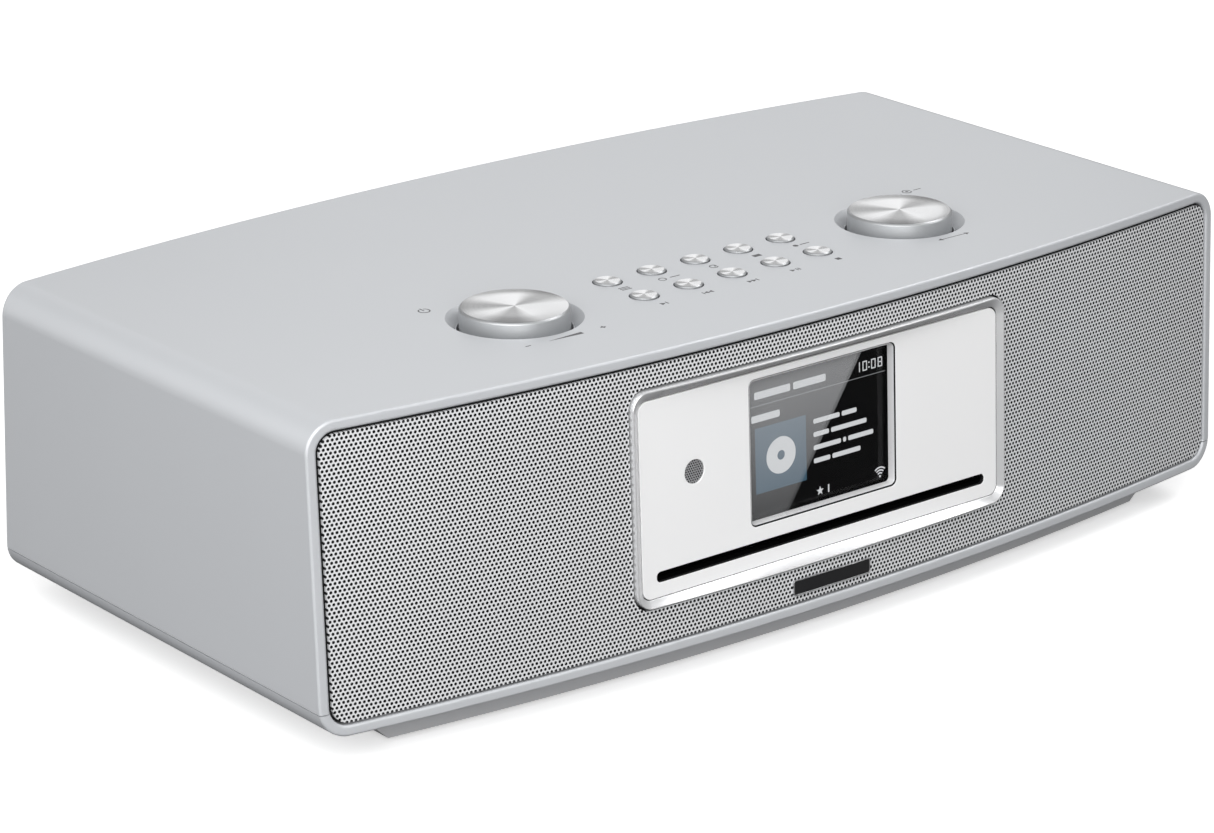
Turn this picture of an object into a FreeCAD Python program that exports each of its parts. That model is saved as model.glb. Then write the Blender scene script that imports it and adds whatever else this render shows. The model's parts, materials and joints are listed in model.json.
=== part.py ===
import FreeCAD, Part
import math
import os

from FreeCAD import Vector

# Mini hifi system: a shallow table-top case with a bowed front and back.
# Frame: origin at the centre of the footprint on the table, +X to the listener's
# right, +Y to the back, +Z up.  All sizes are millimetres.

# ---- driving dimensions -------------------------------------------------------
WIDTH = 360.0
SIDE_DEPTH = 170.6        # depth of the flat sides, at LEAN_BASE
FRONT_BOW = 14.2          # how far the middle of the front stands out of its ends
BACK_BOW = 14.0
FRONT_LEAN = 0.041        # the front leans back by this much per mm of height
BACK_LEAN = 0.061
LEAN_BASE = 3.7
CASE_SHIFT = 0.5          # the display frame stands proud, so the case sits back to centre the whole
CASE_BOTTOM = 10.2
CASE_TOP = 104.5
CORNER_R = 9.5
WALL = 2.4
RIM = 3.4                 # visible edge of the case around the front and back openings
RIM_DEPTH = 4.0
RIM_ROUND = 0.9
SEAM_Z = 18.2
SEAM_GAP = 0.3
FIT = 0.05                # running clearance on a radius
GAP = 0.6                 # shadow gap between trim pieces

GRILLE_SHEET = 1.0
GRILLE_SET_BACK = 0.25

PANEL_HALF, PANEL_LOW, PANEL_HIGH, PANEL_R = 71.7, 28.3, 89.8, 3.3
PANEL_SET_BACK = 2.5      # flat panel behind the middle of the bowed front
PANEL_SHEET = 1.5
DISPLAY_DEPTH = 7.0       # back of the display module behind the panel's face
FRAME_HALF, FRAME_LOW, FRAME_HIGH, FRAME_R = 74.3, 25.8, 93.2, 5.5
FRAME_PROUD = 1.3
WINDOW_HALF, WINDOW_LOW, WINDOW_HIGH, WINDOW_R = 29.35, 41.2, 87.35, 2.2
WINDOW_DEPTH, WINDOW_DRAFT = 3.0, 0.7     # the window's wall slopes in by WINDOW_DRAFT
WINDOW_WALL, LENS_SHEET = 1.4, 1.2
SLOT_HALF, SLOT_Z, SLOT_HEIGHT = 66.1, 34.7, 3.3
IR_X, IR_Z, IR_R = -50.8, 64.2, 3.75

KNOB_X, KNOB_Y, KNOB_R, KNOB_TOP = 77.2, -42.3, 16.7, 108.1
KNOB_BOTTOM = 99.0
KNOB_PUSH = 0.8
DISH_R, DISH_DEPTH = 20.8, 3.3
BUTTON_PITCH = 17.4
BUTTON_ROWS = {"rear": -33.4, "front": -51.1}
BUTTON_R, BUTTON_PROUD, BUTTON_TRAVEL = 4.3, 0.7, 0.5
KEY_BOARD_TOP = 93.5
BOARD = 1.6

SPEAKER_X, SPEAKER_Z, SPEAKER_R = 125.0, 57.0, 33.0
SPEAKER_SEAT_Y = -75.0

DISC_Y, DISC_THICK = -12.0, 1.2
DRIVE_HALF, DRIVE_FRONT, DRIVE_BACK = 68.0, -82.0, 62.0
DRIVE_LOW, DRIVE_TOP, DRIVE_SHEET = 22.0, 46.0, 2.0
LIFT = 2.5                # how far the traverse rises to clamp a disc
SLED_TRAVEL = 34.0

SOCKET_X = (-44.0, -22.0, 0.0)
SOCKET_Z, SOCKET_BORE, SOCKET_DEPTH = 66.0, 1.8, 14.0
INLET_X, INLET_Z = 125.0, 30.0
PORT_X, PORT_Z, PORT_R = 140.0, 72.0, 15.0

FOOT_R, FOOT_X, FOOT_Y, FOOT_SHOW, FOOT_SUNK = 9.0, 128.0, 62.0, 1.0, 1.4

HALF = WIDTH / 2
FRONT_Y = CASE_SHIFT - SIDE_DEPTH / 2 - FRONT_BOW     # middle of the front at LEAN_BASE
BACK_Y = CASE_SHIFT + SIDE_DEPTH / 2 + BACK_BOW
PANEL_Y = FRONT_Y + PANEL_SET_BACK
FAR = 200.0               # beyond the case in every direction
AHEAD = -15.0             # a panel depth in front of every trim piece


# ---- shape helpers ------------------------------------------------------------
def box(x0, x1, y0, y1, z0, z1):
    return Part.makeBox(x1 - x0, y1 - y0, z1 - z0, Vector(x0, y0, z0))


def rod(radius, start, end):
    start, end = Vector(*start), Vector(*end)
    along = end - start
    return Part.makeCylinder(radius, along.Length, start, along)


def upright(radius, x, y, z0, z1):
    return rod(radius, (x, y, z0), (x, y, z1))


def fuse(*shapes):
    return shapes[0].fuse(list(shapes[1:])).removeSplitter()


def cut(shape, *tools):
    return shape.cut(list(tools))


def slab(half, low, high, radius, y0=-FAR, y1=FAR):
    """A rounded rectangle seen from the front, running from y0 to y1."""
    block = box(-half, half, y0, y1, low, high)
    along_y = [e for e in block.Edges if abs(e.tangentAt(e.FirstParameter).y) > 0.9]
    return block.makeFillet(radius, along_y)


def inset_slab(inset, y0=-FAR, y1=FAR):
    """The case's front outline, moved inwards by inset."""
    radius = max(CORNER_R - inset, 1.0)
    return slab(HALF - inset, CASE_BOTTOM + inset, CASE_TOP - inset, radius, y0, y1)


def bowed_space(bow, middle_y, lean, offset):
    """Everything inside one bowed, leaning face of the case, offset mm deeper."""
    facing = 1 if middle_y > 0 else -1
    radius = (HALF ** 2 + bow ** 2) / (2 * bow)
    tilt = math.atan(lean)
    direction = Vector(0, -facing * math.sin(tilt), math.cos(tilt))
    centre = Vector(0, middle_y - facing * radius / math.cos(tilt), LEAN_BASE)
    start = centre - direction * FAR
    return Part.makeCylinder(radius - offset, 3 * FAR, start, direction)


def behind_front(offset):
    return bowed_space(FRONT_BOW, FRONT_Y, FRONT_LEAN, offset)


def ahead_of_back(offset):
    return bowed_space(BACK_BOW, BACK_Y, BACK_LEAN, offset)


def front_skin(outline, near, far):
    """The part of an outline between two depths behind the bowed front."""
    return outline.common(behind_front(near)).cut(behind_front(far))


def panel_layer(outline, near, far):
    """The part of an outline between two depths behind the flat panel's plane."""
    layer = box(-FAR, FAR, near, far, -FAR, FAR)
    layer.rotate(Vector(0, 0, 0), Vector(1, 0, 0), -math.degrees(math.atan(FRONT_LEAN)))
    layer.translate(Vector(0, PANEL_Y, LEAN_BASE))
    return outline.common(layer)


def panel_y(z):
    return PANEL_Y + FRONT_LEAN * (z - LEAN_BASE)


def back_y(x, z):
    return BACK_Y - BACK_BOW * (x / HALF) ** 2 - BACK_LEAN * (z - LEAN_BASE)


def rounded_wire(half, low, high, radius, y):
    face = max(slab(half, low, high, radius, y, y + 1).Faces, key=lambda f: -f.CenterOfMass.y)
    return face.OuterWire


# ---- case ---------------------------------------------------------------------
def rim_edges(shape):
    """Edges of the case that lie on its bowed front or back face."""
    found = []
    near_front, near_back = behind_front(0.0).Faces, ahead_of_back(0.0).Faces
    for edge in shape.Edges:
        middle = Part.Vertex(edge.valueAt((edge.FirstParameter + edge.LastParameter) / 2))
        for faces in (near_front, near_back):
            if min(middle.distToShape(face)[0] for face in faces) < 0.01:
                found.append(edge)
                break
    return found


def case_shell():
    outer = inset_slab(0.0).common(behind_front(0.0)).common(ahead_of_back(0.0))
    tube = outer.cut(inset_slab(RIM))
    tube = tube.makeFillet(RIM_ROUND, rim_edges(tube))
    hollow = inset_slab(WALL).common(behind_front(RIM_DEPTH)).common(ahead_of_back(RIM_DEPTH))
    return tube.cut(hollow)


SCREW_X = (-150.0, 0.0, 150.0)
SCREW_HIGH_Z, SCREW_LOW_Z, SCREW_R = 95.0, 20.0, 1.5
SCREW_LONG, SCREW_HEAD_R, SCREW_HEAD = 10.0, 2.8, 1.6
POST_HALF, POST_BACK = 4.0, 5.0    # a screw post's half width, and how far it runs on behind the seat
REAR_PANEL_NEAR, REAR_PANEL_FAR = 1.0, 3.2


def screw_places():
    for x in SCREW_X:
        for z in (SCREW_LOW_Z, SCREW_HIGH_Z):
            yield x, z


def screw_seat_y(x, z):
    return back_y(x, z) - REAR_PANEL_NEAR - 1.0


def screw_hole(x, z):
    seat = screw_seat_y(x, z)
    return rod(SCREW_R, (x, seat - SCREW_LONG - 2.0, z), (x, seat, z))


def screw_boss(x, z):
    """A post inside the rear panel, standing on the nearer of roof and floor."""
    if z == SCREW_HIGH_Z:
        low, high = z - POST_HALF, CASE_TOP - WALL
    else:
        low, high = CASE_BOTTOM + WALL, z + POST_HALF
    seat = screw_seat_y(x, z)
    post = box(x - POST_HALF, x + POST_HALF, seat - SCREW_LONG - 2.0, seat + POST_BACK, low, high)
    return post.common(ahead_of_back(REAR_PANEL_FAR)).cut(screw_hole(x, z))


def button_places():
    for row, y in BUTTON_ROWS.items():
        for column in range(5):
            yield row, column, (column - 2) * BUTTON_PITCH, y


DISH_WALL = 1.4
KEY_POST_R = 3.0


def top_cover(shell):
    """The case above the seam, with a dish round each knob and posts for the key board."""
    cover = shell.common(box(-FAR, FAR, -FAR, FAR, SEAM_Z + SEAM_GAP / 2, FAR))
    roof = CASE_TOP - WALL
    additions, holes = [], []
    for x in (-KNOB_X, KNOB_X):
        additions.append(upright(DISH_R + DISH_WALL, x, KNOB_Y, CASE_TOP - DISH_DEPTH - 1.6, roof + 0.1))
        dish = Part.makeCone(KNOB_R + 1.0, DISH_R, DISH_DEPTH, Vector(x, KNOB_Y, CASE_TOP - DISH_DEPTH))
        holes += [dish, upright(KNOB_R + 0.8, x, KNOB_Y, KNOB_BOTTOM - 2, CASE_TOP + 1)]
    for x in (-BUTTON_PITCH * 2.9, BUTTON_PITCH * 2.9):
        for y in BUTTON_ROWS.values():
            additions.append(upright(KEY_POST_R, x, y, KEY_BOARD_TOP, roof + 0.1))
    for _, _, x, y in button_places():
        holes.append(upright(BUTTON_R + 0.45, x, y, roof - 1, CASE_TOP + 1))
    for x, z in screw_places():
        if z == SCREW_HIGH_Z:
            additions.append(screw_boss(x, z))
    return cut(fuse(cover, *additions), *holes)


TONGUE, TONGUE_HALF = 1.2, 70.0    # the lip that centres the cover on the tray, along each side


def bottom_tray(shell):
    """The case below the seam, with a lip along each side, screw posts and posts for the supply."""
    tray = shell.common(box(-FAR, FAR, -FAR, FAR, 0, SEAM_Z - SEAM_GAP / 2))
    tongue = inset_slab(WALL).cut(inset_slab(WALL + TONGUE))
    tongue = tongue.common(box(-HALF, HALF, -TONGUE_HALF, TONGUE_HALF, SEAM_Z - 4.0, SEAM_Z + 3.0))
    tongue = tongue.cut(box(-SCREW_X[2], SCREW_X[2], -FAR, FAR, 0, FAR))
    bosses = [screw_boss(x, z) for x, z in screw_places() if z == SCREW_LOW_Z]
    posts = [upright(3.0, x, y, CASE_BOTTOM + WALL, SUPPLY_BOARD_Z) for x, y in supply_posts()]
    return fuse(tray, tongue, *bosses, *posts)


def plan_wire(half, inset, z):
    """Outline of the case seen from above, moved in from its front and back."""
    front_mid = FRONT_Y + FRONT_LEAN * (z - LEAN_BASE) + inset
    back_mid = BACK_Y - BACK_LEAN * (z - LEAN_BASE) - inset
    front_end = front_mid + FRONT_BOW * (half / HALF) ** 2
    back_end = back_mid - BACK_BOW * (half / HALF) ** 2
    front = Part.Arc(Vector(-half, front_end, z), Vector(0, front_mid, z), Vector(half, front_end, z))
    back = Part.Arc(Vector(half, back_end, z), Vector(0, back_mid, z), Vector(-half, back_end, z))
    right = Part.LineSegment(Vector(half, front_end, z), Vector(half, back_end, z))
    left = Part.LineSegment(Vector(-half, back_end, z), Vector(-half, front_end, z))
    return Part.Wire([piece.toShape() for piece in (front, right, back, left)])


PLINTH_HALF_TOP, PLINTH_HALF_LOW, PLINTH_INSET = 161.0, 151.2, 10.4
PLINTH_SLOPE = 2.0                 # how far the plinth's front slopes in towards the table
PLINTH_WALL, PLINTH_FLOOR = 6.0, 2.6


def base_plinth():
    """A shallow open tray that narrows towards the table, with seats for the feet."""
    outer = Part.makeLoft([plan_wire(PLINTH_HALF_LOW, PLINTH_INSET + PLINTH_SLOPE, FOOT_SHOW),
                           plan_wire(PLINTH_HALF_TOP, PLINTH_INSET, CASE_BOTTOM)], True, True)
    half, inset = PLINTH_HALF_LOW - PLINTH_WALL, PLINTH_INSET + PLINTH_WALL + 1.0
    pocket = Part.makeLoft([plan_wire(half, inset, FOOT_SHOW + PLINTH_FLOOR),
                            plan_wire(half, inset, CASE_BOTTOM + 1)], True, True)
    return cut(outer, pocket, *[foot(x, y) for x, y in foot_places()])


def foot_places():
    for x in (-FOOT_X, FOOT_X):
        for y in (-FOOT_Y, FOOT_Y):
            yield x, y


def foot(x, y):
    pad = upright(FOOT_R, x, y, 0.0, FOOT_SHOW + FOOT_SUNK)
    return pad.makeChamfer(0.4, [e for e in pad.Edges if e.CenterOfMass.z < 0.01])


# ---- front --------------------------------------------------------------------
GRILLE_LINE = RIM + GAP + 0.2      # grille outline inside the case outline


def grille_outline(inset=0.0):
    return inset_slab(GRILLE_LINE + inset)


def frame_outline(extra=0.0):
    return slab(FRAME_HALF + extra, FRAME_LOW - extra, FRAME_HIGH + extra, FRAME_R + extra)


def panel_outline(inset=0.0):
    return slab(PANEL_HALF - inset, PANEL_LOW + inset, PANEL_HIGH - inset, PANEL_R)


def front_grille():
    back = GRILLE_SET_BACK + GRILLE_SHEET
    sheet = front_skin(grille_outline(), GRILLE_SET_BACK, back)
    edge = front_skin(grille_outline().cut(grille_outline(1.5)), back - 0.1, back + 0.4)
    return cut(fuse(sheet, edge), frame_outline(GAP))


BAFFLE_NEAR = GRILLE_SET_BACK + GRILLE_SHEET + 0.4
BAFFLE_FAR = RIM_DEPTH + 2.0


BRIDGE = 2.0                       # thickness of the web behind the display


def front_baffle():
    """The moulding behind the grille: speaker seats, and a sleeve that holds the display."""
    plate = front_skin(inset_slab(RIM + 0.5), BAFFLE_NEAR, BAFFLE_FAR)
    flange = front_skin(inset_slab(WALL + 0.2), RIM_DEPTH, BAFFLE_FAR)
    sleeve = frame_outline(2.0).common(behind_front(BAFFLE_NEAR))
    sleeve = panel_layer(sleeve, AHEAD, DISPLAY_DEPTH + BRIDGE)
    bridge = panel_layer(frame_outline(1.0), DISPLAY_DEPTH, DISPLAY_DEPTH + BRIDGE)
    bridge = bridge.common(box(-FAR, FAR, -FAR, FAR, SLOT_Z + 3.6, FAR))
    seats, holes = [], []
    for x in (-SPEAKER_X, SPEAKER_X):
        seats.append(rod(SPEAKER_R + 6, (x, -100, SPEAKER_Z), (x, SPEAKER_SEAT_Y, SPEAKER_Z)))
        holes.append(rod(SPEAKER_R, (x, -110, SPEAKER_Z), (x, SPEAKER_SEAT_Y + 1, SPEAKER_Z)))
    seats = [seat.common(behind_front(BAFFLE_NEAR)) for seat in seats]
    solid = cut(fuse(plate, flange, sleeve, *seats), frame_outline(), *holes)
    return fuse(solid, bridge)


def display_frame():
    """A bevelled ring: its outer edge follows the bowed front, its inner edge is flat."""
    ring = frame_outline().common(behind_front(-FRAME_PROUD))
    ring = panel_layer(ring, AHEAD, DISPLAY_DEPTH / 2)
    bevel_depth, edge = 5.0, 0.1
    funnel = Part.makeLoft([
        rounded_wire(PANEL_HALF, PANEL_LOW, PANEL_HIGH, PANEL_R, 0.0),
        rounded_wire(FRAME_HALF - edge, FRAME_LOW + edge, FRAME_HIGH - edge, FRAME_R - edge, -bevel_depth),
    ], True, True)
    return cut(ring, to_panel(funnel, PANEL_HIGH, PANEL_LOW), panel_outline())


def window_outline(extra=0.0):
    return slab(WINDOW_HALF + extra, WINDOW_LOW - extra, WINDOW_HIGH + extra, WINDOW_R + extra)


def to_panel(shape, high, low):
    """Lean a shape drawn on the upright plane y = 0 back onto the panel's plane."""
    shape.rotate(Vector(0, 0, 0), Vector(1, 0, 0), -math.degrees(math.atan(FRONT_LEAN)))
    middle_z = (low + high) / 2
    shape.translate(Vector(0, panel_y(middle_z) - middle_z * FRONT_LEAN, 0))
    return shape


def window_funnel():
    """The window's opening, which narrows towards the screen."""
    def ring(inset, y):
        return rounded_wire(WINDOW_HALF - inset, WINDOW_LOW + inset, WINDOW_HIGH - inset, WINDOW_R - inset, y)
    slope = WINDOW_DRAFT / WINDOW_DEPTH
    funnel = Part.makeLoft([ring(-slope, -1.0), ring(WINDOW_DRAFT + slope, WINDOW_DEPTH + 1.0)], True, True)
    return to_panel(funnel, WINDOW_HIGH, WINDOW_LOW)


def display_panel():
    wall = panel_layer(window_outline(WINDOW_WALL), PANEL_SHEET - 0.1, WINDOW_DEPTH)
    slot = slab(SLOT_HALF, SLOT_Z - SLOT_HEIGHT / 2, SLOT_Z + SLOT_HEIGHT / 2, SLOT_HEIGHT * 0.45)
    eye = rod(IR_R, (IR_X, -FAR, IR_Z), (IR_X, FAR, IR_Z))
    return cut(fuse(panel_layer(panel_outline(), 0.0, PANEL_SHEET), wall), window_funnel(), slot, eye)


def display_lens():
    return panel_layer(window_outline(WINDOW_WALL), WINDOW_DEPTH, WINDOW_DEPTH + LENS_SHEET)


def lcd_module():
    return panel_layer(window_outline(WINDOW_WALL - 0.2), WINDOW_DEPTH + LENS_SHEET, DISPLAY_DEPTH)


def ir_window():
    return panel_layer(rod(IR_R, (IR_X, -FAR, IR_Z), (IR_X, FAR, IR_Z)), 0.3, PANEL_SHEET + 1.6)


def dust_brushes():
    """Two felt lips with a disc's thickness between them."""
    half_gap = DISC_THICK / 2 + 0.1
    upper = slab(SLOT_HALF, SLOT_Z + half_gap, SLOT_Z + SLOT_HEIGHT, 0.3)
    lower = slab(SLOT_HALF, SLOT_Z - SLOT_HEIGHT, SLOT_Z - half_gap, 0.3)
    lips = [panel_layer(lip, PANEL_SHEET, PANEL_SHEET + 1.5) for lip in (upper, lower)]
    return Part.makeCompound(lips)


BADGE_HALF, BADGE_LOW, BADGE_HIGH, BADGE_PROUD = 15.5, 16.9, 21.9, 0.8


def badge_plate():
    outline = slab(BADGE_HALF, BADGE_LOW, BADGE_HIGH, BADGE_PROUD)
    return front_skin(outline, GRILLE_SET_BACK - BADGE_PROUD, GRILLE_SET_BACK)


# ---- knobs and buttons --------------------------------------------------------
SHAFT_R, SHAFT_FLAT = 3.0, 1.5     # SHAFT_FLAT is the flat's distance from the axis
SHAFT_TOP = KNOB_TOP - 3.5
KNOB_WALL, KNOB_ROOF, KNOB_EDGE = 2.0, 2.5, 0.7
ROTOR_R, ROTOR_LOW, ROTOR_HIGH = 4.6, KEY_BOARD_TOP + 0.9, KEY_BOARD_TOP + 4.8
ENCODER_HIGH, ENCODER_HALF = KEY_BOARD_TOP + 5.0, 6.5


def d_rod(radius, flat, x, y, z0, z1):
    round_part = upright(radius, x, y, z0, z1)
    return round_part.cut(box(x + flat, x + radius + 1, y - radius, y + radius, z0, z1))


def knob(x):
    body = upright(KNOB_R, x, KNOB_Y, KNOB_BOTTOM, KNOB_TOP)
    top_edge = [e for e in body.Edges if e.CenterOfMass.z > KNOB_TOP - 0.01]
    body = body.makeChamfer(KNOB_EDGE, top_edge)
    hollow = upright(KNOB_R - KNOB_WALL, x, KNOB_Y, KNOB_BOTTOM, KNOB_TOP - KNOB_ROOF)
    boss = upright(SHAFT_R + KNOB_WALL, x, KNOB_Y, KNOB_BOTTOM + KNOB_PUSH, KNOB_TOP - KNOB_ROOF)
    bore = d_rod(SHAFT_R, SHAFT_FLAT, x, KNOB_Y, KNOB_BOTTOM, SHAFT_TOP)
    return cut(fuse(cut(body, hollow), boss), bore)


def knob_shaft(x):
    return d_rod(SHAFT_R, SHAFT_FLAT, x, KNOB_Y, ROTOR_LOW + KNOB_PUSH, SHAFT_TOP)


def encoder_rotor(x):
    ring = upright(ROTOR_R, x, KNOB_Y, ROTOR_LOW, ROTOR_HIGH)
    return ring.cut(d_rod(SHAFT_R + FIT, SHAFT_FLAT + FIT, x, KNOB_Y, ROTOR_LOW, ROTOR_HIGH))


def encoder_body(x):
    half = ENCODER_HALF
    can = box(x - half, x + half, KNOB_Y - half, KNOB_Y + half, KEY_BOARD_TOP, ENCODER_HIGH)
    return can.cut(upright(ROTOR_R + FIT, x, KNOB_Y, ROTOR_LOW - FIT, ENCODER_HIGH))


BUTTON_FOOT = KEY_BOARD_TOP + 4.2
BUTTON_LOW = CASE_TOP - WALL - 2.0
BUTTON_FLANGE, BUTTON_STEM_R, BUTTON_EDGE = 1.2, 1.6, 0.35


def button(x, y):
    """A cap held in from below by its flange, on a stem that rests on a switch."""
    cap = upright(BUTTON_R, x, y, BUTTON_LOW, CASE_TOP + BUTTON_PROUD)
    top_edge = [e for e in cap.Edges if e.CenterOfMass.z > CASE_TOP]
    cap = cap.makeChamfer(BUTTON_EDGE, top_edge)
    flange = upright(BUTTON_R + BUTTON_FLANGE, x, y, BUTTON_LOW, CASE_TOP - WALL - 0.1)
    stem = upright(BUTTON_STEM_R, x, y, BUTTON_FOOT, BUTTON_LOW + 0.1)
    return fuse(cap, flange, stem)


def key_board():
    reach_x, reach_y = KNOB_X + 20.0, 22.0
    return box(-reach_x, reach_x, KNOB_Y - reach_y, KNOB_Y + reach_y, KEY_BOARD_TOP - BOARD, KEY_BOARD_TOP)


SWITCH_HALF, SWITCH_HIGH, PLUNGER_R = 3.0, 3.0, 1.7


def key_switches():
    bodies = []
    top = KEY_BOARD_TOP + SWITCH_HIGH
    for _, _, x, y in button_places():
        can = box(x - SWITCH_HALF, x + SWITCH_HALF, y - SWITCH_HALF, y + SWITCH_HALF, KEY_BOARD_TOP, top)
        plunger = upright(PLUNGER_R, x, y, top - 0.1, BUTTON_FOOT - BUTTON_TRAVEL - 0.1)
        bodies.append(fuse(can, plunger))
    return Part.makeCompound(bodies)


# ---- speakers -----------------------------------------------------------------
def along_speaker(profile, x):
    """A ring or cone turned about the speaker's axis.  Profile points are (radius, y)."""
    points = [Vector(x + radius, y, SPEAKER_Z) for radius, y in profile]
    wire = Part.makePolygon(points + points[:1])
    return Part.Face(wire).revolve(Vector(x, 0, SPEAKER_Z), Vector(0, 1, 0), 360)


BASKET_R, MAGNET_Y = SPEAKER_R + 5.0, SPEAKER_SEAT_Y + 24.0
MAGNET_R, MAGNET_LONG = 26.0, 14.0
GAP_IN, GAP_OUT, GAP_DEEP = 6.8, 9.2, 6.0     # the ring-shaped slot the voice coil runs in
COIL_IN, COIL_OUT = 7.6, 8.2
CONE_R, CONE_EDGE = 27.0, 0.6


def speaker_basket(x):
    seat = SPEAKER_SEAT_Y
    shell = along_speaker([(30.5, seat), (BASKET_R, seat), (BASKET_R, seat + 2), (32.5, seat + 2),
                           (20, MAGNET_Y), (GAP_OUT + 0.2, MAGNET_Y), (GAP_OUT + 0.2, MAGNET_Y - 2),
                           (18.4, MAGNET_Y - 2)], x)
    windows = []
    for turn in range(4):
        window = box(x - 7, x + 7, seat + 5, MAGNET_Y - 5, SPEAKER_Z, SPEAKER_Z + BASKET_R)
        window.rotate(Vector(x, 0, SPEAKER_Z), Vector(0, 1, 0), 45 + 90 * turn)
        windows.append(window)
    return cut(shell, *windows)


def speaker_magnet(x):
    back, slot = MAGNET_Y + MAGNET_LONG, MAGNET_Y + GAP_DEEP
    return along_speaker([(GAP_OUT, MAGNET_Y), (MAGNET_R, MAGNET_Y), (MAGNET_R, back), (0, back),
                          (0, MAGNET_Y), (GAP_IN, MAGNET_Y), (GAP_IN, slot), (GAP_OUT, slot)], x)


def speaker_cone(x):
    """The cone, its domed centre cap and the voice coil's former, in one thin skin."""
    seat = SPEAKER_SEAT_Y
    return along_speaker([(CONE_R, seat + CONE_EDGE), (COIL_OUT, seat + 15), (COIL_OUT, MAGNET_Y),
                          (COIL_IN, MAGNET_Y), (COIL_IN, seat + 13.6), (0, seat + 11), (0, seat + 10.4),
                          (COIL_IN, seat + 13), (CONE_R - 1.2, seat - CONE_EDGE),
                          (CONE_R, seat - CONE_EDGE)], x)


def speaker_surround(x):
    """A half-roll of rubber between the cone's edge and the basket."""
    seat = SPEAKER_SEAT_Y
    return along_speaker([(27.3, seat - 0.4), (28.2, seat - 1.6), (29.6, seat - 1.9), (31.0, seat - 1.4),
                          (32.0, seat), (31.0, seat), (30.2, seat - 0.8), (29.2, seat - 1.0),
                          (28.2, seat - 0.6)], x)


# ---- disc drive ---------------------------------------------------------------
ROLLER_Y, ROLLER_R = -77.0, 4.0
ROLLER_Z = SLOT_Z - DISC_THICK / 2 - 0.1 - ROLLER_R
MOTOR_Y, MOTOR_Z, MOTOR_R = -56.0, 26.0, 7.0
PULLEY_X, PULLEY_WIDE = DRIVE_HALF + 2.0, 4.0
ROLLER_PULLEY_R, MOTOR_PULLEY_R, BELT = 7.0, 3.0, 1.2
AXLE_R = 1.5
CLAMP_R, CLAMP_NECK_R = 14.0, 9.0
CLAMP_LOW = SLOT_Z + DISC_THICK / 2 + 0.2
BOARD_Z = 58.0
BOARD_FRONT, BOARD_BACK = -28.0, 84.0
GUIDE_SHEET, GUIDE_HALF = 1.6, 4.0
LEG_HALF, LEG_FRONT, LEG_BACK = 3.0, DRIVE_FRONT + 12.0, DRIVE_BACK - 6.0
BOARD_POST_R, BOARD_POST_Y = 3.0, (-20.0, DRIVE_BACK - 10.0)


def drive_chassis():
    """A folded sheet tunnel on four legs, with a guide over the roller and posts for the main board."""
    half, sheet = DRIVE_HALF, DRIVE_SHEET
    shell = cut(box(-half, half, DRIVE_FRONT, DRIVE_BACK, DRIVE_LOW, DRIVE_TOP),
                box(-half + sheet, half - sheet, DRIVE_FRONT - 1, DRIVE_BACK + 1,
                    DRIVE_LOW - 1, DRIVE_TOP - sheet))
    guide_low = SLOT_Z + DISC_THICK / 2 + 0.1
    guide = box(-half + sheet, half - sheet, ROLLER_Y - GUIDE_HALF, ROLLER_Y + GUIDE_HALF,
                guide_low, guide_low + GUIDE_SHEET)
    legs, posts = [], []
    for x in (-half + LEG_HALF, half - LEG_HALF):
        for y in (LEG_FRONT, LEG_BACK):
            legs.append(box(x - LEG_HALF, x + LEG_HALF, y - LEG_HALF, y + LEG_HALF,
                            CASE_BOTTOM + WALL, DRIVE_LOW))
    for x in (-half + 2 * BOARD_POST_R, half - 2 * BOARD_POST_R):
        for y in BOARD_POST_Y:
            posts.append(upright(BOARD_POST_R, x, y, DRIVE_TOP - 0.1, BOARD_Z))
    holes = [upright(CLAMP_NECK_R + 1, 0, DISC_Y, DRIVE_TOP - 5, DRIVE_TOP + 1),
             rod(AXLE_R + FIT, (-half - 1, ROLLER_Y, ROLLER_Z), (half + 1, ROLLER_Y, ROLLER_Z)),
             rod(AXLE_R + 1, (half - sheet - 1, MOTOR_Y, MOTOR_Z), (half + 1, MOTOR_Y, MOTOR_Z))]
    return cut(fuse(shell, guide, *legs, *posts), *holes)


def pulley(radius, y, z):
    """A flanged pulley whose groove floor has the given radius."""
    flange = 1.0
    blank = rod(radius + BELT, (PULLEY_X, y, z), (PULLEY_X + PULLEY_WIDE, y, z))
    near, far = (PULLEY_X + flange, y, z), (PULLEY_X + PULLEY_WIDE - flange, y, z)
    return cut(blank, cut(rod(radius + 2 * BELT, near, far), rod(radius, near, far)))


def loading_roller():
    """A waisted rubber roller, so a disc touches it only at its edges."""
    reach = DRIVE_HALF - 6
    halves = []
    for side in (-1, 1):
        halves.append(Part.makeCone(ROLLER_R - 1.0, ROLLER_R, reach, Vector(0, ROLLER_Y, ROLLER_Z),
                                    Vector(side, 0, 0)))
    axle = rod(AXLE_R, (-DRIVE_HALF - 1, ROLLER_Y, ROLLER_Z), (PULLEY_X + 1, ROLLER_Y, ROLLER_Z))
    return fuse(*halves, axle, pulley(ROLLER_PULLEY_R, ROLLER_Y, ROLLER_Z))


MOTOR_LONG, MOTOR_SHAFT = 22.0, 7.0    # MOTOR_SHAFT is how deep the shaft sits in the motor
SHAFT_THIN_R = 1.0                     # radius of the motors' shafts and the lead screw's ends


def loading_motor():
    wall = DRIVE_HALF - DRIVE_SHEET
    can = rod(MOTOR_R, (wall - MOTOR_LONG, MOTOR_Y, MOTOR_Z), (wall, MOTOR_Y, MOTOR_Z))
    bore = rod(SHAFT_THIN_R + FIT, (wall - MOTOR_SHAFT - 1, MOTOR_Y, MOTOR_Z), (wall + 1, MOTOR_Y, MOTOR_Z))
    return can.cut(bore)


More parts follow.
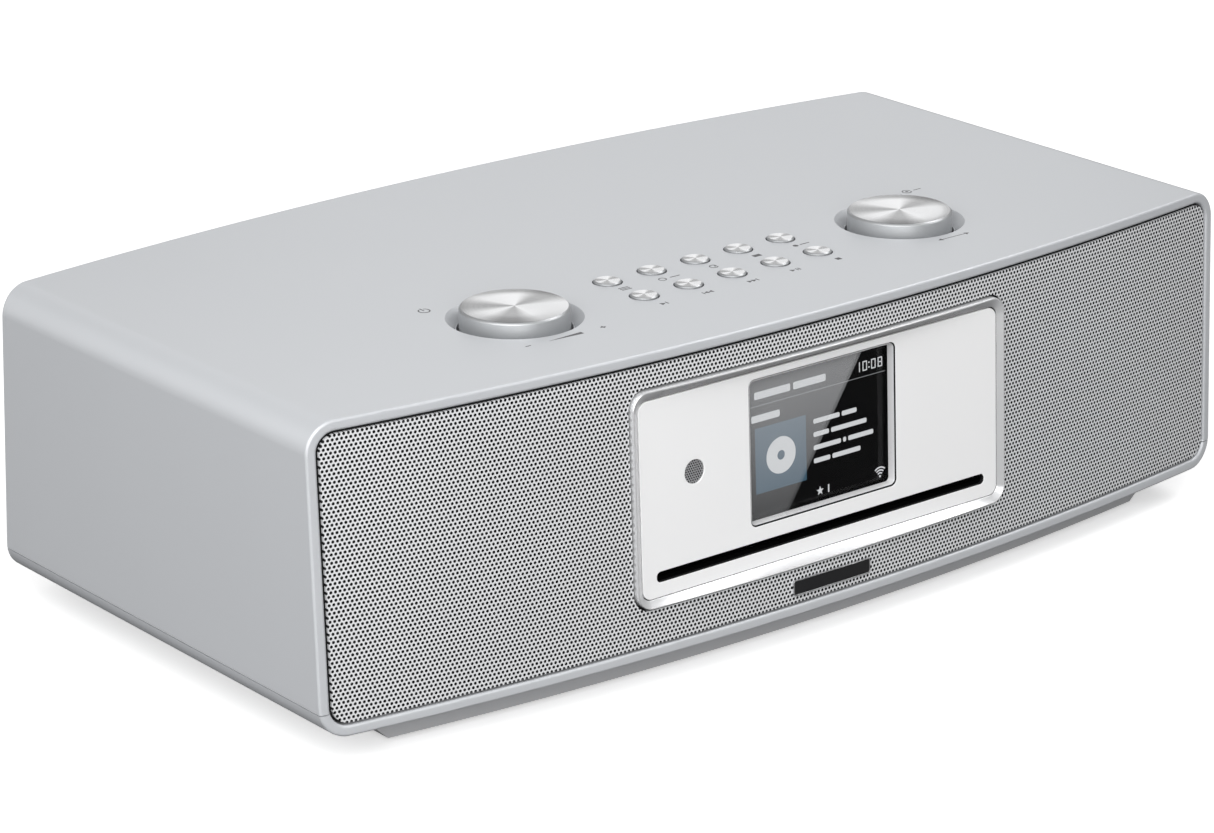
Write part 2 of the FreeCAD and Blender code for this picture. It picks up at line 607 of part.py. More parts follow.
def motor_pulley():
    start = DRIVE_HALF - DRIVE_SHEET - MOTOR_SHAFT
    shaft = rod(SHAFT_THIN_R, (start, MOTOR_Y, MOTOR_Z), (PULLEY_X + 1, MOTOR_Y, MOTOR_Z))
    return fuse(shaft, pulley(MOTOR_PULLEY_R, MOTOR_Y, MOTOR_Z))


BELT_SIDE = 1.3                    # from a pulley's side to the belt's edge


def belt_face(grow):
    """The area inside a belt line around both pulleys, grown outwards."""
    y_gap, z_gap = MOTOR_Y - ROLLER_Y, MOTOR_Z - ROLLER_Z
    distance, heading = math.hypot(y_gap, z_gap), math.atan2(z_gap, y_gap)
    spread = math.acos((ROLLER_PULLEY_R - MOTOR_PULLEY_R) / distance)
    x = PULLEY_X + BELT_SIDE

    def at(y, z, radius, angle):
        return Vector(x, y + radius * math.cos(angle), z + radius * math.sin(angle))

    big, small = ROLLER_PULLEY_R + grow, MOTOR_PULLEY_R + grow
    turn_on, turn_off = heading + spread, heading - spread
    big_arc = Part.Arc(at(ROLLER_Y, ROLLER_Z, big, turn_on), at(ROLLER_Y, ROLLER_Z, big, heading + math.pi),
                       at(ROLLER_Y, ROLLER_Z, big, turn_off))
    small_arc = Part.Arc(at(MOTOR_Y, MOTOR_Z, small, turn_off), at(MOTOR_Y, MOTOR_Z, small, heading),
                         at(MOTOR_Y, MOTOR_Z, small, turn_on))
    lower = Part.LineSegment(big_arc.EndPoint, small_arc.StartPoint)
    upper = Part.LineSegment(small_arc.EndPoint, big_arc.StartPoint)
    wire = Part.Wire([piece.toShape() for piece in (big_arc, lower, small_arc, upper)])
    return Part.Face(wire)


def loading_belt():
    width = Vector(PULLEY_WIDE - 2 * BELT_SIDE, 0, 0)
    return belt_face(FIT + BELT).extrude(width).cut(belt_face(FIT).extrude(width))


TRAVERSE_LOW, TRAVERSE_THICK = 15.2, 2.0
ROD_X, ROD_Z, ROD_R = 22.0, 24.0, 1.5
ROD_START = 2.0
SCREW_AXIS_X = 33.0
SLED_Y, SLED_HALF_LONG, SLED_HALF_WIDE = 13.0, 9.5, 26.0
THREAD_R, SLED_HALF_HIGH = 1.8, 2.5
ROD_BLOCK, ROD_BLOCK_HALF = 3.0, 3.0   # the blocks that hold the rods, at each end of the travel
TRAVERSE_HALF, TRAVERSE_FRONT = 44.0, -34.0
TRAVERSE_BACK = SLED_Y + SLED_HALF_LONG + SLED_TRAVEL + 0.5 + ROD_BLOCK
PLATFORM_TOP = SLOT_Z - DISC_THICK / 2 - LIFT


def traverse_base():
    """The lifting plate that carries the spindle, the sled's rods and the lead screw."""
    floor = TRAVERSE_LOW + TRAVERSE_THICK
    plate = box(-TRAVERSE_HALF, TRAVERSE_HALF, TRAVERSE_FRONT, TRAVERSE_BACK, TRAVERSE_LOW, floor)
    blocks = []
    for y in (ROD_START - ROD_BLOCK, TRAVERSE_BACK - ROD_BLOCK):
        for x in (-ROD_X, ROD_X, SCREW_AXIS_X):
            blocks.append(box(x - ROD_BLOCK_HALF, x + ROD_BLOCK_HALF, y, y + ROD_BLOCK,
                              floor - 0.1, ROD_Z + ROD_BLOCK_HALF))
    holes = [box(-12, 12, SLED_Y + 4, TRAVERSE_BACK - 8, TRAVERSE_LOW - 1, floor + 1)]
    for x, radius in ((-ROD_X, ROD_R), (ROD_X, ROD_R), (SCREW_AXIS_X, SHAFT_THIN_R + FIT)):
        holes.append(rod(radius, (x, ROD_START - ROD_BLOCK, ROD_Z), (x, TRAVERSE_BACK, ROD_Z)))
    return cut(fuse(plate, *blocks), *holes)


def guide_rods():
    return Part.makeCompound([rod(ROD_R, (x, ROD_START - ROD_BLOCK, ROD_Z), (x, TRAVERSE_BACK, ROD_Z))
                              for x in (-ROD_X, ROD_X)])


def lead_screw():
    """A threaded length between the end blocks, drawn as a plain cylinder, with thinner ends."""
    play = 0.5
    far = TRAVERSE_BACK - ROD_BLOCK
    thread = rod(THREAD_R, (SCREW_AXIS_X, ROD_START + play, ROD_Z), (SCREW_AXIS_X, far - play, ROD_Z))
    core = rod(SHAFT_THIN_R, (SCREW_AXIS_X, ROD_START - ROD_BLOCK + play, ROD_Z),
               (SCREW_AXIS_X, TRAVERSE_BACK - play, ROD_Z))
    return fuse(thread, core)


def laser_sled():
    low, high = ROD_Z - SLED_HALF_HIGH, ROD_Z + SLED_HALF_HIGH
    body = box(-SLED_HALF_WIDE, SLED_HALF_WIDE, SLED_Y - SLED_HALF_LONG, SLED_Y + SLED_HALF_LONG, low, high)
    head = box(-7, 7, SLED_Y - 6, SLED_Y + 6, high - 0.1, high + 2.2)
    lens = upright(2.2, 0, SLED_Y, high + 2.1, high + 3.0)
    finger = box(SLED_HALF_WIDE - 0.1, SCREW_AXIS_X - THREAD_R - FIT, SLED_Y - 3, SLED_Y + 3,
                 ROD_Z - 1, ROD_Z + 1)
    bores = [rod(ROD_R + FIT, (x, -FAR, ROD_Z), (x, FAR, ROD_Z)) for x in (-ROD_X, ROD_X)]
    return cut(fuse(body, head, lens, finger), *bores)


SPINDLE_R, SPINDLE_HIGH = 10.0, 9.0
PLATFORM_R, PLATFORM_THICK = 13.0, 1.6
HUB_R, HUB_TIP_R, HUB_HIGH = 7.4, 6.4, 1.4     # the hub enters a disc's 15 mm hole


def spindle_motor():
    floor = TRAVERSE_LOW + TRAVERSE_THICK
    can = upright(SPINDLE_R, 0, DISC_Y, floor, floor + SPINDLE_HIGH)
    return can.cut(upright(SHAFT_THIN_R + FIT, 0, DISC_Y, floor + 2.0, floor + SPINDLE_HIGH + 1))


def turntable():
    floor = TRAVERSE_LOW + TRAVERSE_THICK
    shaft = upright(SHAFT_THIN_R, 0, DISC_Y, floor + 2.5, PLATFORM_TOP)
    platform = upright(PLATFORM_R, 0, DISC_Y, PLATFORM_TOP - PLATFORM_THICK, PLATFORM_TOP)
    skirt = upright(4.0, 0, DISC_Y, floor + SPINDLE_HIGH + 0.3, PLATFORM_TOP)
    hub = Part.makeCone(HUB_R, HUB_TIP_R, HUB_HIGH, Vector(0, DISC_Y, PLATFORM_TOP))
    return fuse(shaft, platform, skirt, hub)


def disc_clamper():
    """Hangs in the chassis roof by its flange; the recess below clears the turntable's hub."""
    lower = upright(CLAMP_R, 0, DISC_Y, CLAMP_LOW, CLAMP_LOW + 3)
    neck = upright(CLAMP_NECK_R, 0, DISC_Y, CLAMP_LOW + 2, DRIVE_TOP + 0.4)
    flange = upright(CLAMP_NECK_R + 3, 0, DISC_Y, DRIVE_TOP + FIT, DRIVE_TOP + 1.6)
    recess = upright(HUB_R + 0.6, 0, DISC_Y, CLAMP_LOW, CLAMP_LOW + 2)
    return cut(fuse(lower, neck, flange), recess)


# ---- boards, supply and back --------------------------------------------------
SUPPLY_BOARD_Z = 18.6
SUPPLY_X0, SUPPLY_X1, SUPPLY_Y0, SUPPLY_Y1 = 92.0, 160.0, -8.0, 62.0
SUPPLY_POST_IN = 5.0               # from the board's edges to the middle of its posts


def supply_posts():
    for x in (SUPPLY_X0 + SUPPLY_POST_IN, SUPPLY_X1 - SUPPLY_POST_IN):
        for y in (SUPPLY_Y0 + SUPPLY_POST_IN, SUPPLY_Y1 - SUPPLY_POST_IN):
            yield x, y


def on_board(x, y, wide, deep, top, high):
    """A block soldered to a board, from its near left corner."""
    return box(x, x + wide, y, y + deep, top - 0.1, top + high)


def power_supply():
    top = SUPPLY_BOARD_Z + BOARD
    board = box(SUPPLY_X0, SUPPLY_X1, SUPPLY_Y0, SUPPLY_Y1, SUPPLY_BOARD_Z, top)
    transformer = on_board(SUPPLY_X0 + 8, SUPPLY_Y0 + 14, 26, 28, top, 24)
    reservoir = upright(9.0, SUPPLY_X1 - 14, SUPPLY_Y0 + 18, top - 0.1, top + 22)
    heat_sink = on_board(SUPPLY_X1 - 24, SUPPLY_Y0 + 32, 4, 30, top, 26)
    return fuse(board, transformer, reservoir, heat_sink)


COOLER_X, COOLER_Y, COOLER_DEEP, FIN_PITCH, FIN_SHEET, FIN_COUNT = 44.0, 20.0, 36.0, 4.0, 2.0, 4


def main_board():
    """The board with its processor, screened tuner and finned cooler."""
    top = BOARD_Z + BOARD
    board = box(-DRIVE_HALF, DRIVE_HALF, BOARD_FRONT, BOARD_BACK, BOARD_Z, top)
    chip = on_board(20, 10, 16, 16, top, 2)
    tuner = on_board(-30, 0, 26, 30, top, 8)
    cooler_wide = FIN_PITCH * (FIN_COUNT - 1) + FIN_SHEET
    base = on_board(COOLER_X, COOLER_Y, cooler_wide, COOLER_DEEP, top, 3)
    fins = [on_board(COOLER_X + FIN_PITCH * n, COOLER_Y, FIN_SHEET, COOLER_DEEP, top, 20)
            for n in range(FIN_COUNT)]
    return fuse(board, chip, tuner, base, *fins)


SOCKET_HALF, SOCKET_NOSE_R, SOCKET_PROUD = 6.0, 4.0, 0.8


def audio_sockets():
    """Three 3.5 mm jack sockets that stand on the main board and reach through the rear panel."""
    bodies = []
    for x in SOCKET_X:
        face = back_y(x, SOCKET_Z) - REAR_PANEL_NEAR
        inner = face - REAR_PANEL_FAR + REAR_PANEL_NEAR - 0.6
        mouth = face + SOCKET_PROUD
        body = box(x - SOCKET_HALF, x + SOCKET_HALF, inner - SOCKET_DEPTH, inner,
                   BOARD_Z + BOARD, SOCKET_Z + SOCKET_HALF)
        nose = rod(SOCKET_NOSE_R, (x, inner - 1, SOCKET_Z), (x, mouth, SOCKET_Z))
        bore = rod(SOCKET_BORE, (x, mouth - SOCKET_DEPTH, SOCKET_Z), (x, mouth + 1, SOCKET_Z))
        bodies.append(cut(fuse(body, nose), bore))
    return Part.makeCompound(bodies)


INLET_HALF, INLET_HALF_HIGH, INLET_LONG = 13.0, 8.0, 22.0
INLET_POCKET_R, INLET_POCKET, PIN_X, PIN_R = 4.6, 12.0, 4.3, 1.2


def mains_inlet():
    """A two-pin figure-of-eight appliance inlet."""
    face = back_y(INLET_X, INLET_Z) - REAR_PANEL_NEAR + 0.6
    z = INLET_Z
    body = box(INLET_X - INLET_HALF, INLET_X + INLET_HALF, face - INLET_LONG, face,
               z - INLET_HALF_HIGH, z + INLET_HALF_HIGH)
    pockets, pins = [], []
    for x in (INLET_X - PIN_X, INLET_X + PIN_X):
        pockets.append(rod(INLET_POCKET_R, (x, face - INLET_POCKET, z), (x, face + 1, z)))
        pins.append(rod(PIN_R, (x, face - INLET_POCKET - 0.1, z), (x, face - 3, z)))
    return fuse(cut(body, fuse(*pockets)), *pins)


PORT_WALL, PORT_LONG = 1.5, 55.0


def bass_port(x):
    face = back_y(x, PORT_Z) - REAR_PANEL_FAR
    outer = rod(PORT_R + PORT_WALL, (x, face - PORT_LONG, PORT_Z), (x, face + 8, PORT_Z))
    bore = rod(PORT_R, (x, face - PORT_LONG - 1, PORT_Z), (x, face + 9, PORT_Z))
    return cut(outer, bore).common(ahead_of_back(REAR_PANEL_NEAR))


VENT_HALF, VENT_LOW, VENT_PITCH, VENT_HIGH, VENT_COUNT = 60.0, 36.0, 5.0, 1.8, 5


def rear_panel():
    """A bowed plate with openings for the ports, inlet and sockets, and a row of vents."""
    plate = inset_slab(RIM + GAP).common(ahead_of_back(REAR_PANEL_NEAR)).cut(ahead_of_back(REAR_PANEL_FAR))
    holes = [rod(SOCKET_NOSE_R, (x, 0, SOCKET_Z), (x, FAR, SOCKET_Z)) for x in SOCKET_X]
    holes.append(box(INLET_X - INLET_HALF, INLET_X + INLET_HALF, 0, FAR,
                     INLET_Z - INLET_HALF_HIGH, INLET_Z + INLET_HALF_HIGH))
    holes += [rod(PORT_R + PORT_WALL, (x, 0, PORT_Z), (x, FAR, PORT_Z)) for x in (-PORT_X, PORT_X)]
    for x, z in screw_places():
        seat = screw_seat_y(x, z)
        holes += [rod(SCREW_HEAD_R + 0.2, (x, seat, z), (x, seat + 8, z)), screw_hole(x, z)]
    for row in range(VENT_COUNT):
        z = VENT_LOW + VENT_PITCH * row
        holes.append(box(-VENT_HALF, VENT_HALF, 0, FAR, z, z + VENT_HIGH))
    return cut(plate, *holes)


CROSS_HALF, CROSS_SLIT = 1.8, 0.4  # half length and half width of the cross in a screw's head


def case_screws():
    screws = []
    for x, z in screw_places():
        seat = screw_seat_y(x, z)
        head = rod(SCREW_HEAD_R, (x, seat, z), (x, seat + SCREW_HEAD, z))
        recess, end = seat + SCREW_HEAD / 2, seat + SCREW_HEAD + 1
        drive = fuse(box(x - CROSS_HALF, x + CROSS_HALF, recess, end, z - CROSS_SLIT, z + CROSS_SLIT),
                     box(x - CROSS_SLIT, x + CROSS_SLIT, recess, end, z - CROSS_HALF, z + CROSS_HALF))
        shank = rod(SCREW_R, (x, seat - SCREW_LONG, z), (x, seat + 0.1, z))
        screws.append(cut(fuse(head, shank), drive))
    return Part.makeCompound(screws)


# ---- the whole set ------------------------------------------------------------
def build():
    shell = case_shell()
    nodes = {
        "top_cover": top_cover(shell),
        "bottom_tray": bottom_tray(shell),
        "base_plinth": base_plinth(),
        "rubber_feet": Part.makeCompound([foot(x, y) for x, y in foot_places()]),
        "front_grille": front_grille(),
        "front_baffle": front_baffle(),
        "display_frame": display_frame(),
        "display_panel": display_panel(),
        "display_lens": display_lens(),
        "lcd_module": lcd_module(),
        "ir_window": ir_window(),
        "dust_brushes": dust_brushes(),
        "badge_plate": badge_plate(),
        "key_board": key_board(),
        "key_switches": key_switches(),
        "drive_chassis": drive_chassis(),
        "loading_roller": loading_roller(),
        "loading_motor": loading_motor(),
        "motor_pulley": motor_pulley(),
        "loading_belt": loading_belt(),
        "traverse_base": traverse_base(),
        "guide_rods": guide_rods(),
        "lead_screw": lead_screw(),
        "laser_sled": laser_sled(),
        "spindle_motor": spindle_motor(),
        "turntable": turntable(),
        "disc_clamper": disc_clamper(),
        "power_supply": power_supply(),
        "main_board": main_board(),
        "audio_sockets": audio_sockets(),
        "mains_inlet": mains_inlet(),
        "bass_ports": Part.makeCompound([bass_port(-PORT_X), bass_port(PORT_X)]),
        "rear_panel": rear_panel(),
        "case_screws": case_screws(),
    }
    for name, x in (("volume", -KNOB_X), ("select", KNOB_X)):
        nodes[name + "_knob"] = knob(x)
        nodes[name + "_shaft"] = knob_shaft(x)
        nodes[name + "_rotor"] = encoder_rotor(x)
        nodes[name + "_encoder"] = encoder_body(x)
    for row, column, x, y in button_places():
        nodes["button_%s_%d" % (row, column + 1)] = button(x, y)
    for name, x in (("left", -SPEAKER_X), ("right", SPEAKER_X)):
        nodes[name + "_speaker_basket"] = speaker_basket(x)
        nodes[name + "_speaker_magnet"] = speaker_magnet(x)
        nodes[name + "_speaker_cone"] = speaker_cone(x)
        nodes[name + "_speaker_surround"] = speaker_surround(x)
    return nodes


os.makedirs("parts", exist_ok=True)
for node_name, shape in build().items():
    shape.exportStep("parts/%s.step" % node_name)
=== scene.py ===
"""Looks of the mini hifi system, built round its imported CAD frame.  Lengths are metres."""

import json
import math

import bmesh
import bpy
from mathutils import Matrix, Vector


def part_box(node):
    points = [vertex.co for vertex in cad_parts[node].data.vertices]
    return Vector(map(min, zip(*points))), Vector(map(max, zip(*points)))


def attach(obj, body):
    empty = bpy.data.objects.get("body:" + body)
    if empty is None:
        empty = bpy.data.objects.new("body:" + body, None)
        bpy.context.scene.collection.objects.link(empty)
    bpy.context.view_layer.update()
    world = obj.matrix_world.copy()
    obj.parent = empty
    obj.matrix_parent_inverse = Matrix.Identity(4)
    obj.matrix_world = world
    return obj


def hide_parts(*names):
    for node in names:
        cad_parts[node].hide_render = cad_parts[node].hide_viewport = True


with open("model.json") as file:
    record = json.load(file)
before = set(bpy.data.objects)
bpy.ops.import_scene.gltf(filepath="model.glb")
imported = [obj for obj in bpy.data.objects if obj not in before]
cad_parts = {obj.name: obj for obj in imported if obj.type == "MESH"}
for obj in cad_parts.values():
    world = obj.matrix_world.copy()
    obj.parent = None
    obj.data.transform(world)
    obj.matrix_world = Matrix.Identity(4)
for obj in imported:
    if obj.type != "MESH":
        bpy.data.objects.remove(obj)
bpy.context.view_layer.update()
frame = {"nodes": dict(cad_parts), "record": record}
MM = 0.001
TAU = 2 * math.pi


# ---- sizes from the frame -----------------------------------------------------
def surface_y(node, x, z):
    """Where a line along +Y first meets a CAD node."""
    hit, place, _, _ = frame["nodes"][node].ray_cast(Vector((x, -1.0, z)), Vector((0, 1, 0)))
    if not hit:
        raise ValueError("no %s at %.4f, %.4f" % (node, x, z))
    return place.y


class BowedFace:
    """The bowed, leaning surface of the front: a tilted cylinder fitted to the grille."""

    def __init__(self):
        low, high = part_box("front_grille")
        reach, z_low, z_high = high.x * 0.95, low.z + 8 * MM, high.z - 4 * MM
        side_low = surface_y("front_grille", reach, z_low)
        side_high = surface_y("front_grille", reach, z_high)
        middle = surface_y("front_grille", 0.0, z_high)
        self.lean = (side_high - side_low) / (z_high - z_low)
        bow = side_high - middle
        self.radius = (reach ** 2 + bow ** 2) / (2 * bow)
        self.middle = middle - self.lean * z_high

    def y(self, x, z, depth=0.0):
        """The face's y, moved inwards by depth."""
        bow = self.radius - math.sqrt(self.radius ** 2 - x ** 2)
        return self.middle + self.lean * z + bow + depth


FACE = BowedFace()
PANEL_LOW, PANEL_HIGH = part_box("display_panel")
FRAME_LOW, FRAME_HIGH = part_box("display_frame")
LENS_LOW, LENS_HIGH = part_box("display_lens")
GRILLE_LOW, GRILLE_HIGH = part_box("front_grille")
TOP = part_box("top_cover")[1].z


def panel_y(z, depth=0.0):
    """The flat panel's face; it leans with the front."""
    return PANEL_LOW.y + FACE.lean * (z - PANEL_LOW.z) + depth


# openings in the centre panel, measured from its own edges and from the lens behind the window
LENS_OVERLAP = 1.4 * MM
WINDOW_HALF, WINDOW_R = LENS_HIGH.x - LENS_OVERLAP, 2.2 * MM
WINDOW_LOW, WINDOW_HIGH = LENS_LOW.z + LENS_OVERLAP, LENS_HIGH.z - LENS_OVERLAP
WINDOW_DEPTH = 3.0 * MM
SLOT_Z, SLOT_HALF, SLOT_HEIGHT = PANEL_LOW.z + 6.4 * MM, PANEL_HIGH.x - 5.6 * MM, 3.3 * MM
SLOT_R = 1.45 * MM
EYE_R = 3.75 * MM
EYE_X, EYE_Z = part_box("ir_window")[0].x + EYE_R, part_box("ir_window")[1].z - EYE_R
# the window's sheen is a painted reflection; the next numbers place its slanting edge
SHEEN_FOOT, SHEEN_HEAD = -12.3 * MM, 19.6 * MM      # x of the sheen's edge at the window's foot and head


# ---- materials ----------------------------------------------------------------
MATERIALS = {}


class Nodes:
    """A new material, kept in MATERIALS by its name, with help to add and link its shader nodes."""

    def __init__(self, name):
        self.material = MATERIALS[name] = bpy.data.materials.new(name)
        self.material.use_nodes = True
        self.tree = self.material.node_tree
        self.tree.nodes.clear()
        self.output = self.add("ShaderNodeOutputMaterial")
        self.place = self.add("ShaderNodeTexCoord").outputs["Object"]

    def add(self, kind, **settings):
        node = self.tree.nodes.new(kind)
        for key, value in settings.items():
            setattr(node, key, value)
        return node

    def link(self, source, target):
        self.tree.links.new(source, target)

    def noise(self, scale, detail=2.0):
        node = self.add("ShaderNodeTexNoise")
        node.inputs["Scale"].default_value = scale
        node.inputs["Detail"].default_value = detail
        self.link(self.place, node.inputs["Vector"])
        return node.outputs["Fac"]

    def ramp(self, source, low, high, to_low=0.0, to_high=1.0):
        node = self.add("ShaderNodeMapRange")
        node.clamp = True
        for key, value in (("From Min", low), ("From Max", high), ("To Min", to_low), ("To Max", to_high)):
            node.inputs[key].default_value = value
        self.link(source, node.inputs["Value"])
        return node.outputs["Result"]

    def math(self, operation, first, second):
        node = self.add("ShaderNodeMath", operation=operation)
        for socket, value in zip(node.inputs, (first, second)):
            if isinstance(value, (int, float)):
                socket.default_value = value
            else:
                self.link(value, socket)
        return node.outputs[0]

    def mix(self, factor, first, second):
        node = self.add("ShaderNodeMix", data_type="RGBA")
        sockets = (node.inputs["Factor"], node.inputs[6], node.inputs[7])
        for socket, value in zip(sockets, (factor, first, second)):
            if isinstance(value, (int, float)):
                socket.default_value = value
            elif isinstance(value, (tuple, list)):
                socket.default_value = (*value[:3], 1.0)
            else:
                self.link(value, socket)
        return node.outputs[2]

    def bump(self, height, strength, distance):
        node = self.add("ShaderNodeBump")
        node.inputs["Strength"].default_value = strength
        node.inputs["Distance"].default_value = distance
        self.link(height, node.inputs["Height"])
        return node.outputs["Normal"]

    def edge_mask(self, radius):
        """1 on sharp edges, 0 on flat parts."""
        bevel = self.add("ShaderNodeBevel", samples=4)
        bevel.inputs["Radius"].default_value = radius
        plain = self.add("ShaderNodeNewGeometry").outputs["Normal"]
        dot = self.add("ShaderNodeVectorMath", operation="DOT_PRODUCT")
        self.link(bevel.outputs["Normal"], dot.inputs[0])
        self.link(plain, dot.inputs[1])
        return self.ramp(dot.outputs["Value"], 0.98, 0.80)


def finish(name, color, rough, metallic=0.0, grain=3000.0, grain_depth=0.00001, rough_spread=0.06,
           mottle=0.03, wear=0.12, wear_radius=0.0006, coat=0.0, specular=0.5, sheen=0.0, painted_underside_shade=1.0):
    """A moulded, painted or plated surface with mottling, fine grain and worn edges; a factor under 1 paints
    shade onto faces that point down.
    """
    n = Nodes(name)
    shader = n.add("ShaderNodeBsdfPrincipled")
    broad = n.noise(28.0, 4.0)
    fine = n.noise(grain, 2.0)
    light = tuple(min(1.0, c * (1 + mottle)) for c in color)
    dark = tuple(c * (1 - mottle) for c in color)
    body = n.mix(n.math("MULTIPLY", n.math("ADD", broad, fine), 0.5), dark, light)
    edge = n.edge_mask(wear_radius)
    scuffs = n.math("MULTIPLY", edge, n.ramp(n.noise(420.0, 3.0), 0.42, 0.62))
    worn = tuple(min(1.0, c * 1.25 + 0.05) for c in color)
    body = n.mix(n.math("MULTIPLY", scuffs, wear), body, worn)
    # painted shade: faces that point down get a darker base colour
    if painted_underside_shade < 1.0:
        facing = n.add("ShaderNodeSeparateXYZ")
        n.link(n.add("ShaderNodeNewGeometry").outputs["Normal"], facing.inputs[0])
        painted_shade_mask = n.ramp(facing.outputs["Z"], -0.2, -0.75)
        body = n.mix(painted_shade_mask, body, tuple(c * painted_underside_shade for c in color))
    n.link(body, shader.inputs["Base Color"])
    spread = n.ramp(n.math("ADD", broad, fine), 0.6, 1.4, rough - rough_spread, rough + rough_spread)
    n.link(spread, shader.inputs["Roughness"])
    shader.inputs["Metallic"].default_value = metallic
    shader.inputs["Specular IOR Level"].default_value = specular
    shader.inputs["Coat Weight"].default_value = coat
    shader.inputs["Coat Roughness"].default_value = 0.12
    shader.inputs["Sheen Weight"].default_value = sheen
    n.link(n.bump(fine, 0.35, grain_depth), shader.inputs["Normal"])
    n.link(shader.outputs[0], n.output.inputs["Surface"])


# painted reflection: darker wedges in the base colour that stand in for what turned metal reflects; direction
# in degrees, and the cosines where a wedge starts and is full
PAINTED_REFLECTION_WEDGES = ((140.4, 0.955, 0.995), (10.0, 0.93, 0.99), (-134.0, 0.90, 0.985))
PAINTED_WEDGE_FADE = 0.14


def spun_metal(name, color, rough, ring_scale=420.0):
    """Turned aluminium: fine concentric grooves, and soft darker wedges of painted reflection that meet at
    the centre.
    """
    n = Nodes(name)
    shader = n.add("ShaderNodeBsdfPrincipled")
    generated = n.add("ShaderNodeTexCoord").outputs["Generated"]
    centred = n.add("ShaderNodeVectorMath", operation="SUBTRACT")
    centred.inputs[1].default_value = (0.5, 0.5, 0.5)
    n.link(generated, centred.inputs[0])
    flat = n.add("ShaderNodeVectorMath", operation="MULTIPLY")
    flat.inputs[1].default_value = (1.0, 1.0, 0.0)
    n.link(centred.outputs[0], flat.inputs[0])
    radius = n.add("ShaderNodeVectorMath", operation="LENGTH")
    n.link(flat.outputs[0], radius.inputs[0])
    heading = n.add("ShaderNodeVectorMath", operation="NORMALIZE")
    n.link(flat.outputs[0], heading.inputs[0])
    rings = n.add("ShaderNodeTexNoise", noise_dimensions="1D")
    rings.inputs["Scale"].default_value = ring_scale
    rings.inputs["Detail"].default_value = 4.0
    n.link(radius.outputs["Value"], rings.inputs["W"])
    shade = None
    for angle, start, full in PAINTED_REFLECTION_WEDGES:
        along = n.add("ShaderNodeVectorMath", operation="DOT_PRODUCT")
        along.inputs[1].default_value = (math.cos(math.radians(angle)), math.sin(math.radians(angle)), 0.0)
        n.link(heading.outputs[0], along.inputs[0])
        wedge = n.ramp(along.outputs["Value"], start - PAINTED_WEDGE_FADE, full)
        shade = wedge if shade is None else n.math("MAXIMUM", shade, wedge)
    shade = n.math("POWER", shade, 1.6)
    tone = n.mix(rings.outputs["Fac"], tuple(c * 0.95 for c in color), color)
    # painted reflection: the base colour goes dark inside the wedges
    tone = n.mix(n.math("MULTIPLY", shade, 0.62), tone, tuple(c * 0.12 for c in color))
    n.link(tone, shader.inputs["Base Color"])
    n.link(n.ramp(rings.outputs["Fac"], 0.2, 0.8, rough - 0.05, rough + 0.06), shader.inputs["Roughness"])
    shader.inputs["Metallic"].default_value = 1.0
    shader.inputs["Anisotropic"].default_value = 0.6
    tangent = n.add("ShaderNodeTangent", direction_type="RADIAL", axis="Z")
    n.link(tangent.outputs[0], shader.inputs["Tangent"])
    n.link(n.bump(rings.outputs["Fac"], 0.06, 0.00002), shader.inputs["Normal"])
    n.link(shader.outputs[0], n.output.inputs["Surface"])


def screen_glow(name, color, strength):
    """A lit mark on the screen."""
    n = Nodes(name)
    shader = n.add("ShaderNodeEmission")
    shader.inputs["Strength"].default_value = strength
    tone = n.mix(n.noise(900.0), tuple(c * 0.96 for c in color), color)
    n.link(tone, shader.inputs["Color"])
    n.link(shader.outputs[0], n.output.inputs["Surface"])


def screen_face(name):
    """The unlit screen: black with a faint pixel grain."""
    n = Nodes(name)
    shader = n.add("ShaderNodeBsdfPrincipled")
    grain = n.mix(n.noise(2500.0), (0.0012, 0.0012, 0.0015), (0.003, 0.003, 0.0035))
    n.link(grain, shader.inputs["Base Color"])
    n.link(n.ramp(n.noise(80.0), 0.3, 0.7, 0.3, 0.4), shader.inputs["Roughness"])
    shader.inputs["Specular IOR Level"].default_value = 0.05
    n.link(n.bump(n.noise(1500.0), 0.05, 0.00001), shader.inputs["Normal"])
    n.link(shader.outputs[0], n.output.inputs["Surface"])


def clear_pane(name):
    """A clear window: see-through, a faint reflection, and a slanting pale sheen over its left that is a
    painted reflection.
    """
    n = Nodes(name)
    clear = n.add("ShaderNodeBsdfTransparent")
    gloss = n.add("ShaderNodeBsdfGlossy")
    n.link(n.ramp(n.noise(60.0), 0.3, 0.7, 0.02, 0.05), gloss.inputs["Roughness"])
    gloss.inputs["Color"].default_value = (0.25, 0.25, 0.25, 1.0)
    facing = n.add("ShaderNodeFresnel")
    facing.inputs["IOR"].default_value = 1.3
    blend = n.add("ShaderNodeMixShader")
    n.link(facing.outputs[0], blend.inputs[0])
    n.link(clear.outputs[0], blend.inputs[1])
    n.link(gloss.outputs[0], blend.inputs[2])
    axes = n.add("ShaderNodeSeparateXYZ")
    n.link(n.place, axes.inputs[0])
    across, up = axes.outputs["X"], axes.outputs["Z"]
    # painted reflection: a pale diffuse layer over the window's left, stronger towards its top
    edge_x = n.ramp(up, WINDOW_LOW, WINDOW_HIGH, SHEEN_FOOT, SHEEN_HEAD)
    painted_sheen_mask = n.ramp(n.math("SUBTRACT", edge_x, across), 0.0, 0.3 * MM)
    strength = n.math("MULTIPLY", painted_sheen_mask, n.ramp(up, WINDOW_LOW, WINDOW_HIGH, 0.05, 0.24))
    painted_sheen = n.add("ShaderNodeBsdfDiffuse")
    painted_sheen.inputs["Color"].default_value = (0.85, 0.86, 0.88, 1.0)
    veiled = n.add("ShaderNodeMixShader")
    n.link(strength, veiled.inputs[0])
    n.link(blend.outputs[0], veiled.inputs[1])
    n.link(painted_sheen.outputs[0], veiled.inputs[2])
    n.link(veiled.outputs[0], n.output.inputs["Surface"])


